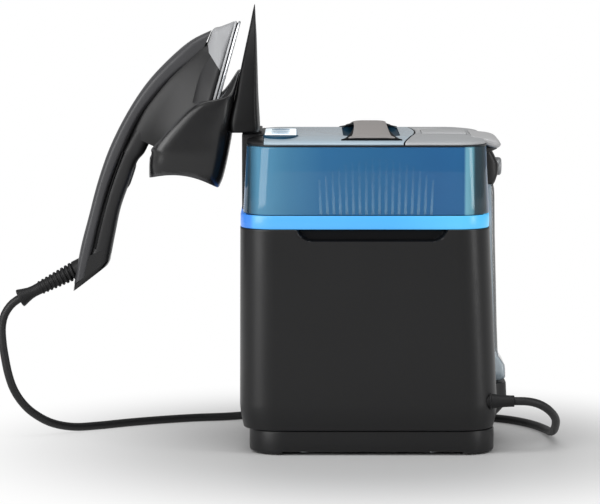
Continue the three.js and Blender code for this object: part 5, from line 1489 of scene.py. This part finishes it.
# ---------------------------------------------------------------- carried-over parts
def paint_carried_parts():
    """Finishes for the CAD parts that stay as they are."""
    finishes = {
        "bay_plate": inner_black, "boiler": cast_aluminium, "boiler_heater": steel_plain,
        "boiler_stand": steel_plain, "pump": trigger_plastic, "steam_valve": brass_plain,
        "control_board": board_green, "tank_coupling": trigger_plastic, "suction_tube": silicone_tube,
        "feed_tube": silicone_tube, "steam_pipe": silicone_tube, "mains_gland": boot_rubber,
        "outlet_valve": trigger_plastic, "flap_pin": steel_plain, "latch_spring": steel_plain,
        "steam_chamber": cast_aluminium, "trigger_pin": steel_plain, "micro_switch": inner_black,
        "trigger_spring": steel_plain, "handset_tube": silicone_tube,
    }
    for number in range(1, 5):
        finishes[f"foot_{number}"] = foot_rubber
        finishes[f"plinth_screw_{number}"] = steel_plain
    for node, material in finishes.items():
        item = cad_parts[node]
        for material_slot in item.material_slots:
            material_slot.material = material


# ---------------------------------------------------------------- studio
def build_floor():
    """A pale floor, grey round the base as a painted shadow, that runs out into white away from the object.
    """
    mesh = bpy.data.meshes.new("studio_floor")
    half = 4.0
    corners = [(-half, -half, 0), (half, -half, 0), (half, half, 0), (-half, half, 0)]
    mesh.from_pydata(corners, [], [(0, 1, 2, 3)])
    floor = link_object("studio_floor", mesh)
    material, tree, shader = new_material("studio_floor")
    shader.inputs["Base Color"].default_value = (0.5, 0.5, 0.5, 1)
    shader.inputs["Roughness"].default_value = 0.5
    shader.inputs["Specular IOR Level"].default_value = 0.2
    white = tree.nodes.new("ShaderNodeEmission")
    coordinates = tree.nodes.new("ShaderNodeTexCoord")
    length = tree.nodes.new("ShaderNodeVectorMath")
    length.operation = "DISTANCE"
    length.inputs[1].default_value = place(0, -50, 0)
    tree.links.new(coordinates.outputs["Object"], length.inputs[0])
    # Grey near the base, white further off: the grey round the base is painted shadow, over the real shadows
    # that the lit floor also takes.
    ranged = tree.nodes.new("ShaderNodeMapRange")
    ranged.interpolation_type = "SMOOTHSTEP"
    ranged.inputs["From Min"].default_value = 0.11
    ranged.inputs["From Max"].default_value = 0.42
    tree.links.new(length.outputs["Value"], ranged.inputs["Value"])
    path = tree.nodes.new("ShaderNodeLightPath")
    seen = maths(tree, "MAXIMUM", path.outputs["Is Camera Ray"], path.outputs["Is Glossy Ray"])
    seen = maths(tree, "MAXIMUM", seen, path.outputs["Is Transmission Ray"])
    share = maths(tree, "MULTIPLY", seen, ranged.outputs[0])
    mix = tree.nodes.new("ShaderNodeMixShader")
    tree.links.new(share, mix.inputs[0])
    tree.links.new(shader.outputs[0], mix.inputs[1])
    tree.links.new(white.outputs[0], mix.inputs[2])
    tree.links.new(mix.outputs[0], tree.nodes["Material Output"].inputs["Surface"])
    mesh.materials.append(material)


WORLD_LEVEL = 0.42  # of the surroundings, as light


def build_world():
    """Plain soft studio surroundings that look white to the camera."""
    world = bpy.data.worlds.new("studio")
    bpy.context.scene.world = world
    world.use_nodes = True
    tree = world.node_tree
    background = tree.nodes["Background"]
    background.inputs["Color"].default_value = (1, 1, 1, 1)
    path = tree.nodes.new("ShaderNodeLightPath")
    seen = maths(tree, "MAXIMUM", path.outputs["Is Camera Ray"], path.outputs["Is Transmission Ray"])
    strength = maths(tree, "ADD", maths(tree, "MULTIPLY", seen, 1 - WORLD_LEVEL), WORLD_LEVEL)
    tree.links.new(strength, background.inputs["Strength"])


def build_lamp(name, spot, aim, width, height, power):
    """A soft rectangular lamp at a place, aimed at another, all in metres."""
    data = bpy.data.lights.new(name, "AREA")
    data.shape = "RECTANGLE"
    data.size = width
    data.size_y = height
    data.energy = power
    lamp = link_object(name, data)
    lamp.location = spot
    lamp.rotation_euler = (Vector(aim) - Vector(spot)).to_track_quat("-Z", "Y").to_euler()


def build_studio():
    """Floor, surroundings and four soft lamps."""
    build_floor()
    build_world()
    build_lamp("top_softbox", (0.0, -0.7, 1.9), (0, 0, 0.2), 1.8, 1.0, 20)
    build_lamp("front_fill", (-1.3, -2.4, 1.2), (0, 0, 0.2), 1.4, 1.0, 16)
    build_lamp("left_strip", (-1.4, -1.1, 0.6), (0, 0, 0.2), 0.9, 1.3, 20)
    build_lamp("right_strip", (1.5, -0.8, 0.6), (0, 0, 0.2), 0.3, 1.3, 9)
    bpy.context.scene.view_settings.view_transform = "Standard"


# ---------------------------------------------------------------- build
build_casing()
build_plinth()
build_light_band()
build_neck()
build_deck()
build_tank_seal()
build_panel()
build_strap()
build_tank()
build_lid()
build_rest()
build_sole()
build_head()
build_handle()
build_boot()
build_gland()
build_holster()
paint_carried_parts()
build_studio()
